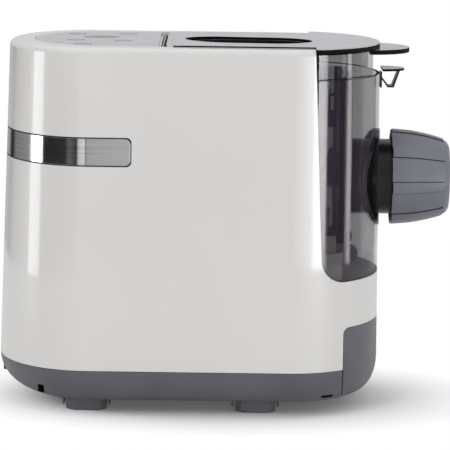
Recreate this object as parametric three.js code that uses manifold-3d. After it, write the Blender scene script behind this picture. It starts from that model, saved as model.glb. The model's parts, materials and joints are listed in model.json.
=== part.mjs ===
import * as THREE from 'three';
import { mergeVertices } from 'three/addons/utils/BufferGeometryUtils.js';
import Module from 'manifold-3d';

const wasm = await Module();
wasm.setup();

// Driving dimensions in millimetres. X runs from the motor end to the nozzle, Y across, Z up from the floor.
const gap = 0.35;
const overrun = 30;
const weld = 0.0001;

// Outer form: two rounded ends joined by straight sides, leaning in a little towards the top.
const body = {
  rearX: -178,
  frontX: 123.5,
  halfWidth: 100,
  endLength: 73,
  baseZ: 11,
  baseDepth: 25,
  topZ: 286,
  rearDraft: 6.5,
  frontDraft: 2,
  sideDraft: 1,
  rearTuck: 26,
  frontTuck: 14,
  sideTuck: 16,
  topRound: 5,
  wall: 2.8,
  topPlate: 5,
  baseFloor: 3,
};
const endSegments = 16;
const tuckShares = [1, 0.94, 0.82, 0.62, 0.38];
const roundShares = [0.25, 0.5, 0.75, 1];

const window = { topX: 68, lean: 7, sillRise: 4, corner: 18.5, panelClearance: 0.6, panelWall: 2.6 };
const band = { frontX: -72.5, lowZ: 195, height: 22, depth: 1.2, corner: 4 };
const nozzle = {
  heightShare: 0.572,
  boreShare: 0.24,
  tipWall: 3.5,
  neckWall: 5.8,
  neckReach: 41.5,
  lugHeight: 2.4,
  lugSetback: 15,
  lugLength: 7,
  collarWidthShare: 0.57,
  collarHalfHeight: 38.5,
  collarProud: 0.8,
};
const nut = {
  standOff: 8.5,
  frontReach: 13,
  clearance: 0.8,
  wall: 4.5,
  ribHeight: 1.2,
  ribCount: 8,
  ribDegrees: 15,
  startDegrees: 180.5,
  ribEdgeShare: 0.1,
};
// Along the nut and out from its axis, as shares of its length and of its rear radius.
const nutProfileShares = [[0, 1], [0.326, 0.971], [0.674, 0.885], [0.904, 0.8], [0.965, 0.744], [1, 0.672]];
const disc = { thickness: 4.8, ringShare: 0.6 };
const panel = { rearMargin: 26, endLength: 54, sideMargin: 22, pocket: 2.3, plate: 1.95, ledge: 6 };
const buttons = {
  halfLength: 7,
  halfWidth: 4.5,
  flange: 1.6,
  flangeThickness: 2.4,
  proud: 0.6,
  travel: 1.2,
  places: [
    { name: 'button_power', along: -14, acrossShare: -0.72 },
    { name: 'button_program', along: -21, acrossShare: -0.218 },
    { name: 'button_weight', along: 16, acrossShare: -0.218 },
    { name: 'button_start', along: -22.5, acrossShare: 0.64 },
    { name: 'button_extrude', along: 18.5, acrossShare: 0.706 },
  ],
};
const lens = { along: -2, acrossShare: 0.23, halfLength: 14, halfWidth: 13 };
const board = { rearReach: 27, frontClearance: 4, thickness: 1.6, postX: 6, postY: 3, postRadius: 2.6 };
const lid = {
  rearX: -51,
  plate: 3,
  proud: 1,
  edgeRound: 0.8,
  barrelRadius: 4.6,
  pinRadius: 2,
  pinLength: 15,
  frameInset: 0.8,
  rimInset: 4,
  rimWall: 2.5,
  rimSetback: 13,
  skirtInset: 0.5,
  skirtDepth: 20.1,
  openingX: 17.5,
  openingHalfLength: 50.5,
  openingHalfWidth: 32.5,
  openingLedge: 4,
  trayDepth: 12,
  trayWall: 2,
  slotHalfLength: 30,
  slotHalfWidth: 3.5,
  tongueReach: 21.5,
  tongueLength: 33,
  tongueHalfWidth: 42,
  tongueThickness: 3.6,
  magnetY: 20,
  magnetSize: 6,
};
const frame = {
  rearX: -58,
  plate: 3,
  bayClearance: 12,
  earWidth: 7.5,
  earDepth: 13.4,
  knuckleClearance: 1.2,
  railShare: 0.28,
  railWidth: 4,
  railHeight: 4.4,
  armClearance: 2.5,
  armThickness: 6,
  armBack: 30,
  armReach: 5.2,
  armRise: 22.7,
  armRadius: 7.5,
};
const chamber = {
  rearClearance: 9,
  frontMargin: 31.5,
  radiusShare: 0.62,
  wall: 2.5,
  flareStartShare: 0.256,
  flareEndShare: 0.646,
  rimShare: 0.64,
  rimClearance: 1.9,
  flangeShare: 0.04,
  flangeThickness: 3.5,
  sealWidth: 3,
};
const head = { gasket: 1.1, plate: 4.2 };
const paddle = {
  hubRadius: 9,
  overhang: 3,
  frontClearance: 12,
  armRadius: 4,
  armClearance: 3.5,
  socketDepth: 19,
  hexRadius: 5,
};
const paddleArmShares = [
  { along: 0.13, degrees: 0 },
  { along: 0.13, degrees: 180 },
  { along: 0.47, degrees: 270 },
  { along: 0.81, degrees: 0 },
  { along: 0.81, degrees: 180 },
];
const screw = { coreRadius: 9, clearance: 1.5, endClearance: 15, turns: 3, stepsPerTurn: 12 };
const latch = {
  rootSetback: 1.4,
  reach: 17.8,
  rise: 3.7,
  thickness: 1.8,
  halfWidth: 18,
  strapHalfWidth: 8,
  height: 15.5,
  legThickness: 1.4,
  bowlReach: 4.4,
  bowlLength: 5,
  bowlRise: 0.9,
  armDrop: 6,
  strapReach: 13,
};
const drawer = {
  seamX: 93.5,
  heightShare: 0.532,
  corner: 5,
  wall: 3,
  trayRearX: 22,
  traySideMargin: 32,
  trayDrop: 5,
  trayWall: 2.5,
  discSetback: 38,
};
const runner = { rearClearance: 2, frontClearance: 3.5, sideInset: 10, width: 6, height: 5.7 };
const gear = {
  module: 2,
  pinionTeeth: 9,
  idlerTeeth: 36,
  smallTeeth: 10,
  outputTeeth: 32,
  sideClearance: 1.9,
  thickness: 6,
  stepGap: 1.1,
  smallThickness: 8,
  addendumShare: 0.72,
  dedendumShare: 1.2,
  rootToothShare: 0.46,
  tipToothShare: 0.2,
};
const gearbox = { depth: 22.3, wall: 2.6, sideMargin: 8, coverThickness: 3, round: 14, margin: 6 };
const motor = {
  rearMargin: 28,
  canRadius: 36,
  canWall: 4.5,
  airGap: 1,
  rotorRearClearance: 5,
  rotorFrontClearance: 3.2,
  shaftRadius: 4,
  shaftOverhang: 10,
  mountInset: 10,
  mountHalfWidth: 30,
  mountDrop: 12,
  mountPlate: 5,
  fanSetback: 8,
  fanDepth: 6,
  fanMargin: 6,
  fanHub: 9,
  blades: 6,
  bladeThickness: 1.8,
};
const drive = { overhang: 0.6, shoulderProud: 4, shaftRadius: 8, bearingWall: 4.25, bearingProud: 3 };
const foot = {
  rearMargin: 71.5,
  frontMargin: 97.5,
  rearSideMargin: 42,
  frontSideMargin: 40,
  topRadius: 20,
  bottomRadius: 18.4,
  sides: 8,
};
const fixing = {
  rearX: -75,
  frontX: 45,
  sideMargin: 24,
  postRadius: 5,
  bossHeight: 22,
  ribThickness: 3,
  shankRadius: 1.7,
  headRadius: 3.4,
  headHeight: 2.4,
  counterbore: 5,
  length: 36,
};
const vents = { setback: 9, pitch: 7, count: 4, halfLength: 22, width: 3.5 };
const grommet = { rise: 13, radius: 5.6, bore: 3.2, setback: 2.4, length: 12 };

// Radii and half widths that follow from the driving dimensions.
const nozzleBore = body.halfWidth * nozzle.boreShare;
const neckRadius = nozzleBore + nozzle.neckWall;
const tipRadius = nozzleBore + nozzle.tipWall;
const lugRadius = neckRadius + nozzle.lugHeight;
const nutBore = lugRadius + nut.clearance;
const nutRadius = nutBore + nut.wall;
const seatRadius = tipRadius + nut.clearance;
const discRadius = tipRadius - gap;
const flightRadius = nozzleBore - screw.clearance;
const chamberRadius = body.halfWidth * chamber.radiusShare;
const rimHalfWidth = body.halfWidth * chamber.rimShare;
const chamberFlange = body.halfWidth * chamber.flangeShare;
const sealRadius = paddle.hubRadius + chamber.sealWidth;
const paddleReach = chamberRadius - chamber.wall - paddle.armClearance;
const flangeRadius = chamberRadius + chamberFlange;
const collarHalfWidth = body.halfWidth * nozzle.collarWidthShare;
const railInnerY = body.halfWidth * frame.railShare;
const panelHalfWidth = body.halfWidth - panel.sideMargin;
const ledgeInnerY = panelHalfWidth - panel.ledge;
const barrelHalfLength = ledgeInnerY - frame.earWidth - 2 * gap;
const trayHalfWidth = body.halfWidth - drawer.traySideMargin;
const fixingY = body.halfWidth - fixing.sideMargin;
const bearingRadius = drive.shaftRadius + gap + drive.bearingWall;
const shaftHole = bearingRadius + gap;
const knuckleRadius = lid.barrelRadius - frame.knuckleClearance;
const smallRadius = (gear.module * gear.smallTeeth) / 2;
const outputRadius = (gear.module * gear.outputTeeth) / 2;
const pinionRadius = (gear.module * gear.pinionTeeth) / 2;
const idlerRadius = (gear.module * gear.idlerTeeth) / 2;
const rotorRadius = motor.canRadius - motor.canWall - motor.airGap;

// Heights that follow.
const seamZ = body.baseZ + body.baseDepth;
const nozzleZ = seamZ + (body.topZ - seamZ) * nozzle.heightShare;
const baseFloorTopZ = body.baseZ + body.baseFloor;
const lidUnderZ = body.topZ - lid.plate;
const lidTopZ = body.topZ + lid.proud;
const sideTopZ = body.topZ - body.topPlate;
const pivotZ = body.topZ - lid.barrelRadius;
const skirtBottomZ = lidUnderZ - lid.skirtDepth;
const panelTopZ = skirtBottomZ - window.panelClearance;
const rimZ = skirtBottomZ - chamber.rimClearance;
const bayFloorTopZ = nozzleZ - flangeRadius - frame.bayClearance;
const bayFloorZ = bayFloorTopZ - frame.plate;
const sillZ = bayFloorTopZ + window.sillRise;
const armZ = bayFloorTopZ + frame.armRise;
const flareStartZ = nozzleZ + (rimZ - nozzleZ) * chamber.flareStartShare;
const flareEndZ = nozzleZ + (rimZ - nozzleZ) * chamber.flareEndShare;
const latchTopZ = panelTopZ + latch.rise;
const drawerTopZ = seamZ + (bayFloorZ - seamZ) * drawer.heightShare;
const trayBottomZ = baseFloorTopZ + runner.height + 2 * gap;
const trayTopZ = drawerTopZ - drawer.trayDrop;
const bandHighZ = band.lowZ + band.height;
const armTopDrop = nozzleZ - armZ - frame.armRadius;
const armY = Math.sqrt(Math.max(0, flangeRadius ** 2 - armTopDrop ** 2)) + frame.armClearance;
const idlerZ = nozzleZ - smallRadius - outputRadius;
const motorZ = idlerZ - pinionRadius - idlerRadius;
const grommetZ = body.baseZ + grommet.rise;

// Places along X that follow, from the nozzle back to the motor.
const neckEndX = body.frontX + nozzle.neckReach;
const lugStartX = neckEndX - nozzle.lugSetback;
const lugEndX = lugStartX + nozzle.lugLength;
const nutRearX = body.frontX + nut.standOff;
const nutFrontX = neckEndX + nut.frontReach;
const discFrontX = neckEndX + gap + disc.thickness;
const screwEndX = neckEndX - screw.endClearance;
const chamberFrontX = body.frontX - chamber.frontMargin;
const plateRearX = chamberFrontX + head.gasket + 2 * gap;
const plateFrontX = plateRearX + head.plate;
const armX = chamberFrontX + frame.armReach;
const paddleFrontX = chamberFrontX - paddle.frontClearance;
const pivotX = lid.rearX + lid.barrelRadius;
const lidEdgeX = pivotX + lid.barrelRadius + gap;
const rimRearX = lid.rearX + lid.rimSetback;
const frameFrontX = frame.rearX + frame.plate;
const chamberRearX = frameFrontX + chamber.rearClearance;
const paddleRearX = chamberRearX - paddle.overhang;
const coverRearX = frame.rearX - gap - gearbox.coverThickness;
const gearboxRearX = coverRearX - gap - gearbox.depth;
const gearRearX = gearboxRearX + gearbox.wall + gear.sideClearance;
const gearFrontX = gearRearX + gear.thickness;
const smallRearX = gearFrontX + gear.stepGap;
const smallFrontX = smallRearX + gear.smallThickness;
const canFrontX = gearboxRearX - gap;
const canRearX = body.rearX + motor.rearMargin;
const shaftRearX = canRearX - motor.shaftOverhang;
const fanRearX = canRearX - motor.fanSetback;
const panelCentreX = body.rearX + panel.rearMargin + panel.endLength;
const lensX = panelCentreX + lens.along;
const lensY = panelHalfWidth * lens.acrossShare;
const buttonPlaces = buttons.places.map(({ name, along, acrossShare }) => (
  { name, x: panelCentreX + along, y: panelHalfWidth * acrossShare }
));
const grommetRearX = body.rearX + grommet.setback;
const grommetFrontX = grommetRearX + grommet.length;

const axisX = new THREE.Vector3(1, 0, 0);
const axisY = new THREE.Vector3(0, 1, 0);
const axisZ = new THREE.Vector3(0, 0, 1);
const backY = new THREE.Vector3(0, -1, 0);
const outlineToX = new THREE.Matrix4().makeBasis(axisY, axisZ, axisX);
const outlineToY = new THREE.Matrix4().makeBasis(axisX, axisZ, backY);
const spindleToX = new THREE.Matrix4().makeBasis(axisZ, axisX, axisY);
const spindleToZ = new THREE.Matrix4().makeBasis(axisX, axisZ, backY);

// Turns a closed geometry into a solid that can be joined and cut, facing outwards.
function solidOf(geometry) {
  const bare = new THREE.BufferGeometry();
  bare.setAttribute('position', geometry.attributes.position);
  if (geometry.index) bare.setIndex(geometry.index);
  const merged = mergeVertices(bare, weld);
  const places = merged.attributes.position;
  const corners = merged.index.array;
  const triangles = [];
  let volume = 0;
  for (let i = 0; i < corners.length; i += 3) {
    const [a, b, c] = [corners[i], corners[i + 1], corners[i + 2]];
    if (a === b || b === c || c === a) continue;
    const [p, q, r] = [a, b, c].map((corner) => new THREE.Vector3().fromBufferAttribute(places, corner));
    volume += p.dot(q.cross(r));
    triangles.push([a, b, c]);
  }
  const facing = volume > 0 ? triangles : triangles.map(([a, b, c]) => [a, c, b]);
  return new wasm.Manifold(new wasm.Mesh({
    numProp: 3,
    vertProperties: new Float32Array(places.array),
    triVerts: new Uint32Array(facing.flat()),
  }));
}

function geometryOf(solid) {
  const mesh = solid.getMesh();
  const geometry = new THREE.BufferGeometry();
  geometry.setAttribute('position', new THREE.BufferAttribute(new Float32Array(mesh.vertProperties), 3));
  geometry.setIndex(new THREE.BufferAttribute(new Uint32Array(mesh.triVerts), 1));
  geometry.computeVertexNormals();
  return geometry;
}

// Closed solid through a stack of rings that have as many points each.
function loft(rings) {
  const count = rings[0].length;
  const points = rings.flat();
  const index = [];
  const corner = (ring, i) => ring * count + (i % count);
  for (let ring = 0; ring + 1 < rings.length; ring += 1) {
    for (let i = 0; i < count; i += 1) {
      index.push(corner(ring, i), corner(ring, i + 1), corner(ring + 1, i + 1));
      index.push(corner(ring, i), corner(ring + 1, i + 1), corner(ring + 1, i));
    }
  }
  [0, rings.length - 1].forEach((ring) => {
    const middle = new THREE.Vector3();
    rings[ring].forEach((point) => middle.addScaledVector(point, 1 / count));
    points.push(middle);
    for (let i = 0; i < count; i += 1) {
      const pair = [corner(ring, i), corner(ring, i + 1)];
      index.push(points.length - 1, ...(ring === 0 ? pair.reverse() : pair));
    }
  });
  const geometry = new THREE.BufferGeometry().setFromPoints(points);
  geometry.setIndex(index);
  return solidOf(geometry);
}

function block(lowX, highX, lowY, highY, lowZ, highZ) {
  const geometry = new THREE.BoxGeometry(highX - lowX, highY - lowY, highZ - lowZ);
  return solidOf(geometry.translate((lowX + highX) / 2, (lowY + highY) / 2, (lowZ + highZ) / 2));
}

function rodX(radius, lowX, highX, y, z, sides = 24) {
  const geometry = new THREE.CylinderGeometry(radius, radius, highX - lowX, sides);
  return solidOf(geometry.applyMatrix4(spindleToX).translate((lowX + highX) / 2, y, z));
}

function rodY(radius, lowY, highY, x, z, sides = 16) {
  const geometry = new THREE.CylinderGeometry(radius, radius, highY - lowY, sides);
  return solidOf(geometry.translate(x, (lowY + highY) / 2, z));
}

function rodZ(radius, lowZ, highZ, x, y, sides = 12) {
  const geometry = new THREE.CylinderGeometry(radius, radius, highZ - lowZ, sides);
  return solidOf(geometry.applyMatrix4(spindleToZ).translate(x, y, (lowZ + highZ) / 2));
}

function extrude(points, depth) {
  const shape = new THREE.Shape(points.map(([u, v]) => new THREE.Vector2(u, v)));
  return new THREE.ExtrudeGeometry(shape, { depth, bevelEnabled: false });
}

const plateX = (points, lowX, highX) =>
  solidOf(extrude(points, highX - lowX).applyMatrix4(outlineToX).translate(lowX, 0, 0));
const plateY = (points, lowY, highY) =>
  solidOf(extrude(points, highY - lowY).applyMatrix4(outlineToY).translate(0, highY, 0));
const plateZ = (points, lowZ, highZ) => solidOf(extrude(points, highZ - lowZ).translate(0, 0, lowZ));

// Low and high end of a stretch that starts at a distance from the middle plane, on one side of it.
const span = (side, start, length) => [side * start, side * (start + length)].sort((a, b) => a - b);

// Points on an arc or a quarter of an ellipse, with the angles in shares of a half turn.
function arc(centreU, centreV, radiusU, radiusV, startShare, endShare, steps) {
  return Array.from({ length: steps + 1 }, (_, i) => {
    const angle = Math.PI * (startShare + ((endShare - startShare) * i) / steps);
    return [centreU + radiusU * Math.cos(angle), centreV + radiusV * Math.sin(angle)];
  });
}

function pill(centreX, centreY, halfLength, halfWidth, steps = 10) {
  const reach = halfLength - halfWidth;
  return [
    ...arc(centreX + reach, centreY, halfWidth, halfWidth, -0.5, 0.5, steps),
    ...arc(centreX - reach, centreY, halfWidth, halfWidth, 0.5, 1.5, steps),
  ];
}

// Plan outline of the machine at one height, moved in by an inset.
function planRing(z, inset) {
  const rise = Math.max(0, (z - seamZ) / (body.topZ - seamZ));
  const drop = Math.min(1, Math.max(0, (seamZ - z) / (seamZ - body.baseZ)));
  const tuck = 1 - Math.sqrt(1 - drop * drop);
  const rearLength = body.endLength - body.rearDraft * rise - body.rearTuck * tuck - inset;
  const frontLength = body.endLength - body.frontDraft * rise - body.frontTuck * tuck - inset;
  const half = body.halfWidth - body.sideDraft * rise - body.sideTuck * tuck - inset;
  const outline = [
    ...arc(body.frontX - body.endLength, 0, frontLength, half, -0.5, 0.5, endSegments),
    ...arc(body.rearX + body.endLength, 0, rearLength, half, 0.5, 1.5, endSegments),
  ];
  return outline.map(([x, y]) => new THREE.Vector3(x, y, z));
}

const planSolid = (levels) => loft(levels.map(([z, inset]) => planRing(z, inset)));
const planSlab = (lowZ, highZ, inset) => planSolid([[lowZ, inset], [highZ, inset]]);
const planWall = (lowZ, highZ, outer, inner) =>
  planSlab(lowZ, highZ, outer).subtract(planSlab(lowZ - weld, highZ + weld, inner));
const tuckLevels = (inset) => tuckShares.map((share) => [seamZ - (seamZ - body.baseZ) * share, inset]);

// Side outline of the smoke window: near upright rear edge, round lower corner, level sill.
function windowCut(offset) {
  const cornerX = window.topX + window.lean + window.corner;
  const cornerZ = sillZ + window.corner;
  const radius = window.corner - offset;
  const farX = nutFrontX + overrun;
  const farZ = body.topZ + overrun;
  return plateY([
    [farX, farZ],
    [window.topX + offset, farZ],
    [window.topX + offset, lidUnderZ],
    ...arc(cornerX, cornerZ, radius, radius, 1, 1.5, 8),
    [farX, sillZ + offset],
  ], -body.halfWidth - overrun, body.halfWidth + overrun);
}

function drawerCut(offset) {
  const radius = drawer.corner;
  const farX = nutFrontX + overrun;
  return plateY([
    [drawer.seamX + offset, -overrun],
    [farX, -overrun],
    [farX, drawerTopZ - offset],
    ...arc(drawer.seamX + offset + radius, drawerTopZ - offset - radius, radius, radius, 0.5, 1, 5),
  ], -body.halfWidth - overrun, body.halfWidth + overrun);
}

function bandCut(offset) {
  const frontX = band.frontX + offset;
  const radius = band.corner;
  return plateY([
    [body.rearX - overrun, bandHighZ + offset],
    [body.rearX - overrun, band.lowZ - offset],
    ...arc(frontX - radius, band.lowZ - offset + radius, radius, radius, 1.5, 2, 4),
    ...arc(frontX - radius, bandHighZ + offset - radius, radius, radius, 0, 0.5, 4),
  ], -body.halfWidth - overrun, body.halfWidth + overrun);
}

function panelOutline(inset, frontX) {
  const half = panelHalfWidth - inset;
  const rounded = arc(panelCentreX, 0, panel.endLength - inset, half, 0.5, 1.5, 24);
  return [[frontX, -half], [frontX, half], ...rounded];
}

const bothSides = [-1, 1];
const bothEnds = [
  { x: fixing.rearX, name: 'rear' },
  { x: fixing.frontX, name: 'front' },
];

function mainHousing() {
  const roundLevels = roundShares.map((share) => {
    const angle = (share * Math.PI) / 2;
    return [body.topZ - body.topRound * (1 - Math.sin(angle)), body.topRound * (1 - Math.cos(angle))];
  });
  const outer = planSolid([[seamZ, 0], [body.topZ - body.topRound, 0], ...roundLevels]);
  let shell = outer.subtract(planSlab(seamZ - gap, sideTopZ, body.wall));
  const bosses = [];
  bothEnds.forEach(({ x }) => bothSides.forEach((side) => {
    const y = side * fixingY;
    const bottomZ = seamZ + gap;
    const topZ = bottomZ + fixing.bossHeight;
    const half = fixing.ribThickness / 2;
    const wallY = side * (body.halfWidth - body.wall / 2);
    bosses.push(rodZ(fixing.postRadius, bottomZ, topZ, x, y));
    bosses.push(block(x - half, x + half, Math.min(y, wallY), Math.max(y, wallY), bottomZ, topZ));
  }));
  bosses.forEach((boss) => { shell = shell.add(boss.intersect(outer)); });
  bothEnds.forEach(({ x }) => bothSides.forEach((side) => {
    const pilot = fixing.shankRadius + gap;
    shell = shell.subtract(rodZ(pilot, body.baseZ, body.baseZ + fixing.length, x, side * fixingY));
  }));
  const groove = planWall(band.lowZ - overrun, bandHighZ + overrun, -band.depth, band.depth);
  const openFrontX = lid.rearX - gap;
  // The lid lies on a ledge that stops short of the hinge, where its rear edge swings down.
  const bed = (half, lowZ, frontX) => block(openFrontX, frontX, -half, half, lowZ, body.topZ + overrun);
  return shell
    .subtract(bed(panelHalfWidth, lidUnderZ - gap, nutFrontX))
    .subtract(bed(ledgeInnerY, sideTopZ - gap, nutFrontX))
    .subtract(bed(panelHalfWidth, sideTopZ - gap, lidEdgeX))
    .subtract(plateZ(panelOutline(0, openFrontX + overrun), body.topZ - panel.pocket, body.topZ + overrun))
    .subtract(plateZ(panelOutline(panel.ledge, openFrontX - panel.ledge), sideTopZ - overrun, body.topZ))
    .subtract(groove.intersect(bandCut(gap)))
    .subtract(windowCut(0))
    .subtract(drawerCut(0));
}

function basePan() {
  const topZ = seamZ - gap;
  const outer = planSolid([...tuckLevels(0), [topZ, 0]]);
  const innerLevels = tuckLevels(body.wall).filter(([z]) => z > baseFloorTopZ);
  const inner = planSolid([[baseFloorTopZ, body.wall], ...innerLevels, [seamZ, body.wall]]);
  let pan = outer.subtract(inner);
  const far = body.halfWidth + overrun;
  bothEnds.forEach(({ x }) => bothSides.forEach((side) => {
    const y = side * fixingY;
    pan = pan.add(rodZ(fixing.postRadius, body.baseZ + body.baseFloor / 2, topZ, x, y));
    pan = pan.subtract(rodZ(fixing.shankRadius + gap, -overrun, seamZ + overrun, x, y));
    pan = pan.subtract(rodZ(fixing.headRadius + gap, -overrun, body.baseZ + fixing.counterbore, x, y));
  }));
  for (let i = 0; i < vents.count; i += 1) {
    const x = frame.rearX - vents.setback - vents.pitch * i;
    const half = vents.width / 2;
    const reach = vents.halfLength;
    pan = pan.subtract(block(x - half, x + half, -reach, reach, -overrun, baseFloorTopZ + gap));
  }
  const cordHole = rodX(grommet.radius + gap, body.rearX - overrun, grommetFrontX + gap, 0, grommetZ);
  return pan
    .subtract(block(drawer.seamX - gap, nutFrontX, -far, far, -overrun, body.topZ))
    .subtract(cordHole);
}

function innerFrame() {
  const inset = body.wall + gap;
  const lowZ = baseFloorTopZ + gap;
  const tucked = tuckLevels(inset).filter(([z]) => z > lowZ);
  const inside = planSolid([[lowZ, inset], ...tucked, [seamZ, inset], [sideTopZ - gap, inset]]);
  const far = body.halfWidth + overrun;
  const bulkhead = inside.intersect(block(frame.rearX, frameFrontX, -far, far, 0, body.topZ));
  const floor = inside.intersect(block(frame.rearX, nutFrontX, -far, far, bayFloorZ, bayFloorTopZ));
  let solid = bulkhead.add(floor);
  const earLow = barrelHalfLength + gap;
  bothSides.forEach((side) => {
    const ears = span(side, earLow, frame.earWidth);
    const neck = block(frame.rearX, pivotX, ...ears, pivotZ - frame.earDepth, sideTopZ - gap);
    const knuckle = rodY(knuckleRadius, ...ears, pivotX, pivotZ);
    const holeEnds = span(side, earLow - gap, frame.earWidth * 2);
    const hole = rodY(lid.pinRadius + gap, ...holeEnds, pivotX, pivotZ, 12);
    const rails = span(side, railInnerY, frame.railWidth);
    const rail = block(chamberRearX, paddleFrontX, ...rails, bayFloorZ, bayFloorTopZ + frame.railHeight);
    const arms = span(side, armY, frame.armThickness);
    const arm = block(chamberFrontX - frame.armBack, armX, ...arms, bayFloorZ, armZ + frame.armRadius);
    const armEnd = rodY(frame.armRadius, ...arms, armX, armZ);
    solid = solid.add(neck).add(knuckle).subtract(hole).add(rail).add(arm).add(armEnd);
  });
  return solid.subtract(rodX(shaftHole, frame.rearX - overrun, frameFrontX + overrun, 0, nozzleZ));
}

function stainlessBand() {
  const skin = planWall(band.lowZ - overrun, bandHighZ + overrun, 0, band.depth - gap);
  return skin.intersect(bandCut(0));
}

const lensOutline = (inset) =>
  pill(lensX, lensY, lens.halfLength - inset, lens.halfWidth - inset, 6);

function controlPanel() {
  const lowZ = body.topZ - panel.plate;
  const farX = lid.rearX - gap;
  let plate = plateZ(panelOutline(gap, farX), lowZ, body.topZ);
  buttonPlaces.forEach(({ x, y }) => {
    const hole = pill(x, y, buttons.halfLength + gap, buttons.halfWidth + gap, 6);
    plate = plate.subtract(plateZ(hole, lowZ - gap, body.topZ + gap));
  });
  const lensHole = lensOutline(-gap);
  return plate.subtract(plateZ(lensHole, lowZ - gap, body.topZ + gap));
}

const displayLens = () => plateZ(lensOutline(0), body.topZ - panel.plate, body.topZ);

function pushButton({ x, y }) {
  const underZ = body.topZ - panel.plate - gap;
  const capOutline = pill(x, y, buttons.halfLength, buttons.halfWidth, 6);
  const footHalfLength = buttons.halfLength + buttons.flange;
  const footOutline = pill(x, y, footHalfLength, buttons.halfWidth + buttons.flange, 6);
  return plateZ(capOutline, underZ - gap, body.topZ + buttons.proud)
    .add(plateZ(footOutline, underZ - buttons.flangeThickness, underZ));
}

function controlBoard() {
  const buttonFootZ = body.topZ - panel.plate - gap - buttons.flangeThickness;
  const switchTopZ = buttonFootZ - buttons.travel - gap;
  const topZ = switchTopZ - buttons.travel;
  const lowZ = topZ - board.thickness;
  const rearX = panelCentreX - board.rearReach;
  const frontX = frame.rearX - board.frontClearance;
  let solid = block(rearX, frontX, -panelHalfWidth, panelHalfWidth, lowZ, topZ);
  [rearX + board.postX, frontX - board.postX].forEach((x) => bothSides.forEach((side) => {
    solid = solid.add(rodZ(board.postRadius, lowZ, sideTopZ - gap, x, side * (panelHalfWidth - board.postY)));
  }));
  const half = buttons.flange * 2;
  buttonPlaces.forEach(({ x, y }) => {
    solid = solid.add(block(x - half, x + half, y - half, y + half, lowZ, switchTopZ));
  });
  return solid;
}

// Room that the lid fills in plan: between the housing's shoulders, and full width over the window.
function lidPlan(halfWidth) {
  const far = body.halfWidth + overrun;
  const highZ = body.topZ + overrun;
  return block(lid.rearX, nutFrontX, -halfWidth, halfWidth, 0, highZ)
    .add(block(window.topX + gap, nutFrontX, -far, far, 0, highZ));
}

function lidCover() {
  const farY = body.halfWidth + overrun;
  const from = (x) => block(x, nutFrontX, -farY, farY, 0, body.topZ + overrun);
  const crown = planSolid([[lidUnderZ, 0], [lidTopZ - lid.edgeRound, 0], [lidTopZ, lid.edgeRound]]);
  let cover = planSlab(lidUnderZ, body.topZ, 0).intersect(from(pivotX)).add(crown.intersect(from(lidEdgeX)));
  cover = cover.intersect(lidPlan(panelHalfWidth - gap));
  cover = cover.add(rodY(lid.barrelRadius, -barrelHalfLength, barrelHalfLength, pivotX, pivotZ, 24));
  const notchTopZ = pivotZ + knuckleRadius + gap;
  bothSides.forEach((side) => {
    const ears = span(side, barrelHalfLength, frame.earWidth + 2 * gap);
    cover = cover.subtract(block(lid.rearX, lidEdgeX, ...ears, pivotZ, notchTopZ));
    const pinHole = span(side, barrelHalfLength - lid.pinLength / 2 - gap, lid.pinLength);
    cover = cover.subtract(rodY(lid.pinRadius + gap, ...pinHole, pivotX, pivotZ, 12));
  });
  const opening = pill(lid.openingX, 0, lid.openingHalfLength, lid.openingHalfWidth, 14);
  return cover.subtract(plateZ(opening, 0, body.topZ + overrun));
}

function lidFrame() {
  const topZ = lidUnderZ - gap;
  const lowZ = sideTopZ + gap;
  const farY = body.halfWidth + overrun;
  const between = (lowX, highX) => block(lowX, highX, -farY, farY, 0, body.topZ);
  const sideY = ledgeInnerY - gap;
  const room = lidPlan(sideY);
  let solid = planSlab(lowZ, topZ, lid.frameInset).intersect(between(lidEdgeX, nutFrontX)).intersect(room);
  const frontX = window.topX + gap;
  const overWindow = windowCut(lid.frameInset);
  const rim = planWall(skirtBottomZ, topZ, lid.rimInset, lid.rimInset + lid.rimWall);
  solid = solid.add(rim.intersect(overWindow));
  bothSides.forEach((side) => {
    const rail = span(side, sideY - lid.rimWall, lid.rimWall);
    solid = solid.add(block(rimRearX, frontX + lid.rimWall, ...rail, skirtBottomZ, topZ));
    const shoulder = span(side, sideY - lid.rimWall, body.halfWidth - lid.rimInset - sideY);
    const cross = block(frontX, frontX + lid.rimWall, ...shoulder, skirtBottomZ, topZ);
    solid = solid.add(cross.intersect(overWindow));
  });
  solid = solid.add(block(rimRearX, rimRearX + lid.rimWall, -sideY, sideY, skirtBottomZ, topZ));
  const skirt = planWall(skirtBottomZ, topZ, lid.skirtInset, lid.rimInset + lid.rimWall / 2);
  solid = solid.add(skirt.intersect(overWindow));
  const tongueRootX = body.frontX + lid.tongueReach - lid.tongueLength;
  const tongue = arc(tongueRootX, 0, lid.tongueLength, lid.tongueHalfWidth, -0.5, 0.5, 20);
  solid = solid.add(plateZ(tongue, topZ - lid.tongueThickness, topZ));
  const halfLength = lid.openingHalfLength - lid.openingLedge;
  const halfWidth = lid.openingHalfWidth - lid.openingLedge;
  return solid.subtract(plateZ(pill(lid.openingX, 0, halfLength, halfWidth, 14), 0, body.topZ));
}

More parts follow.
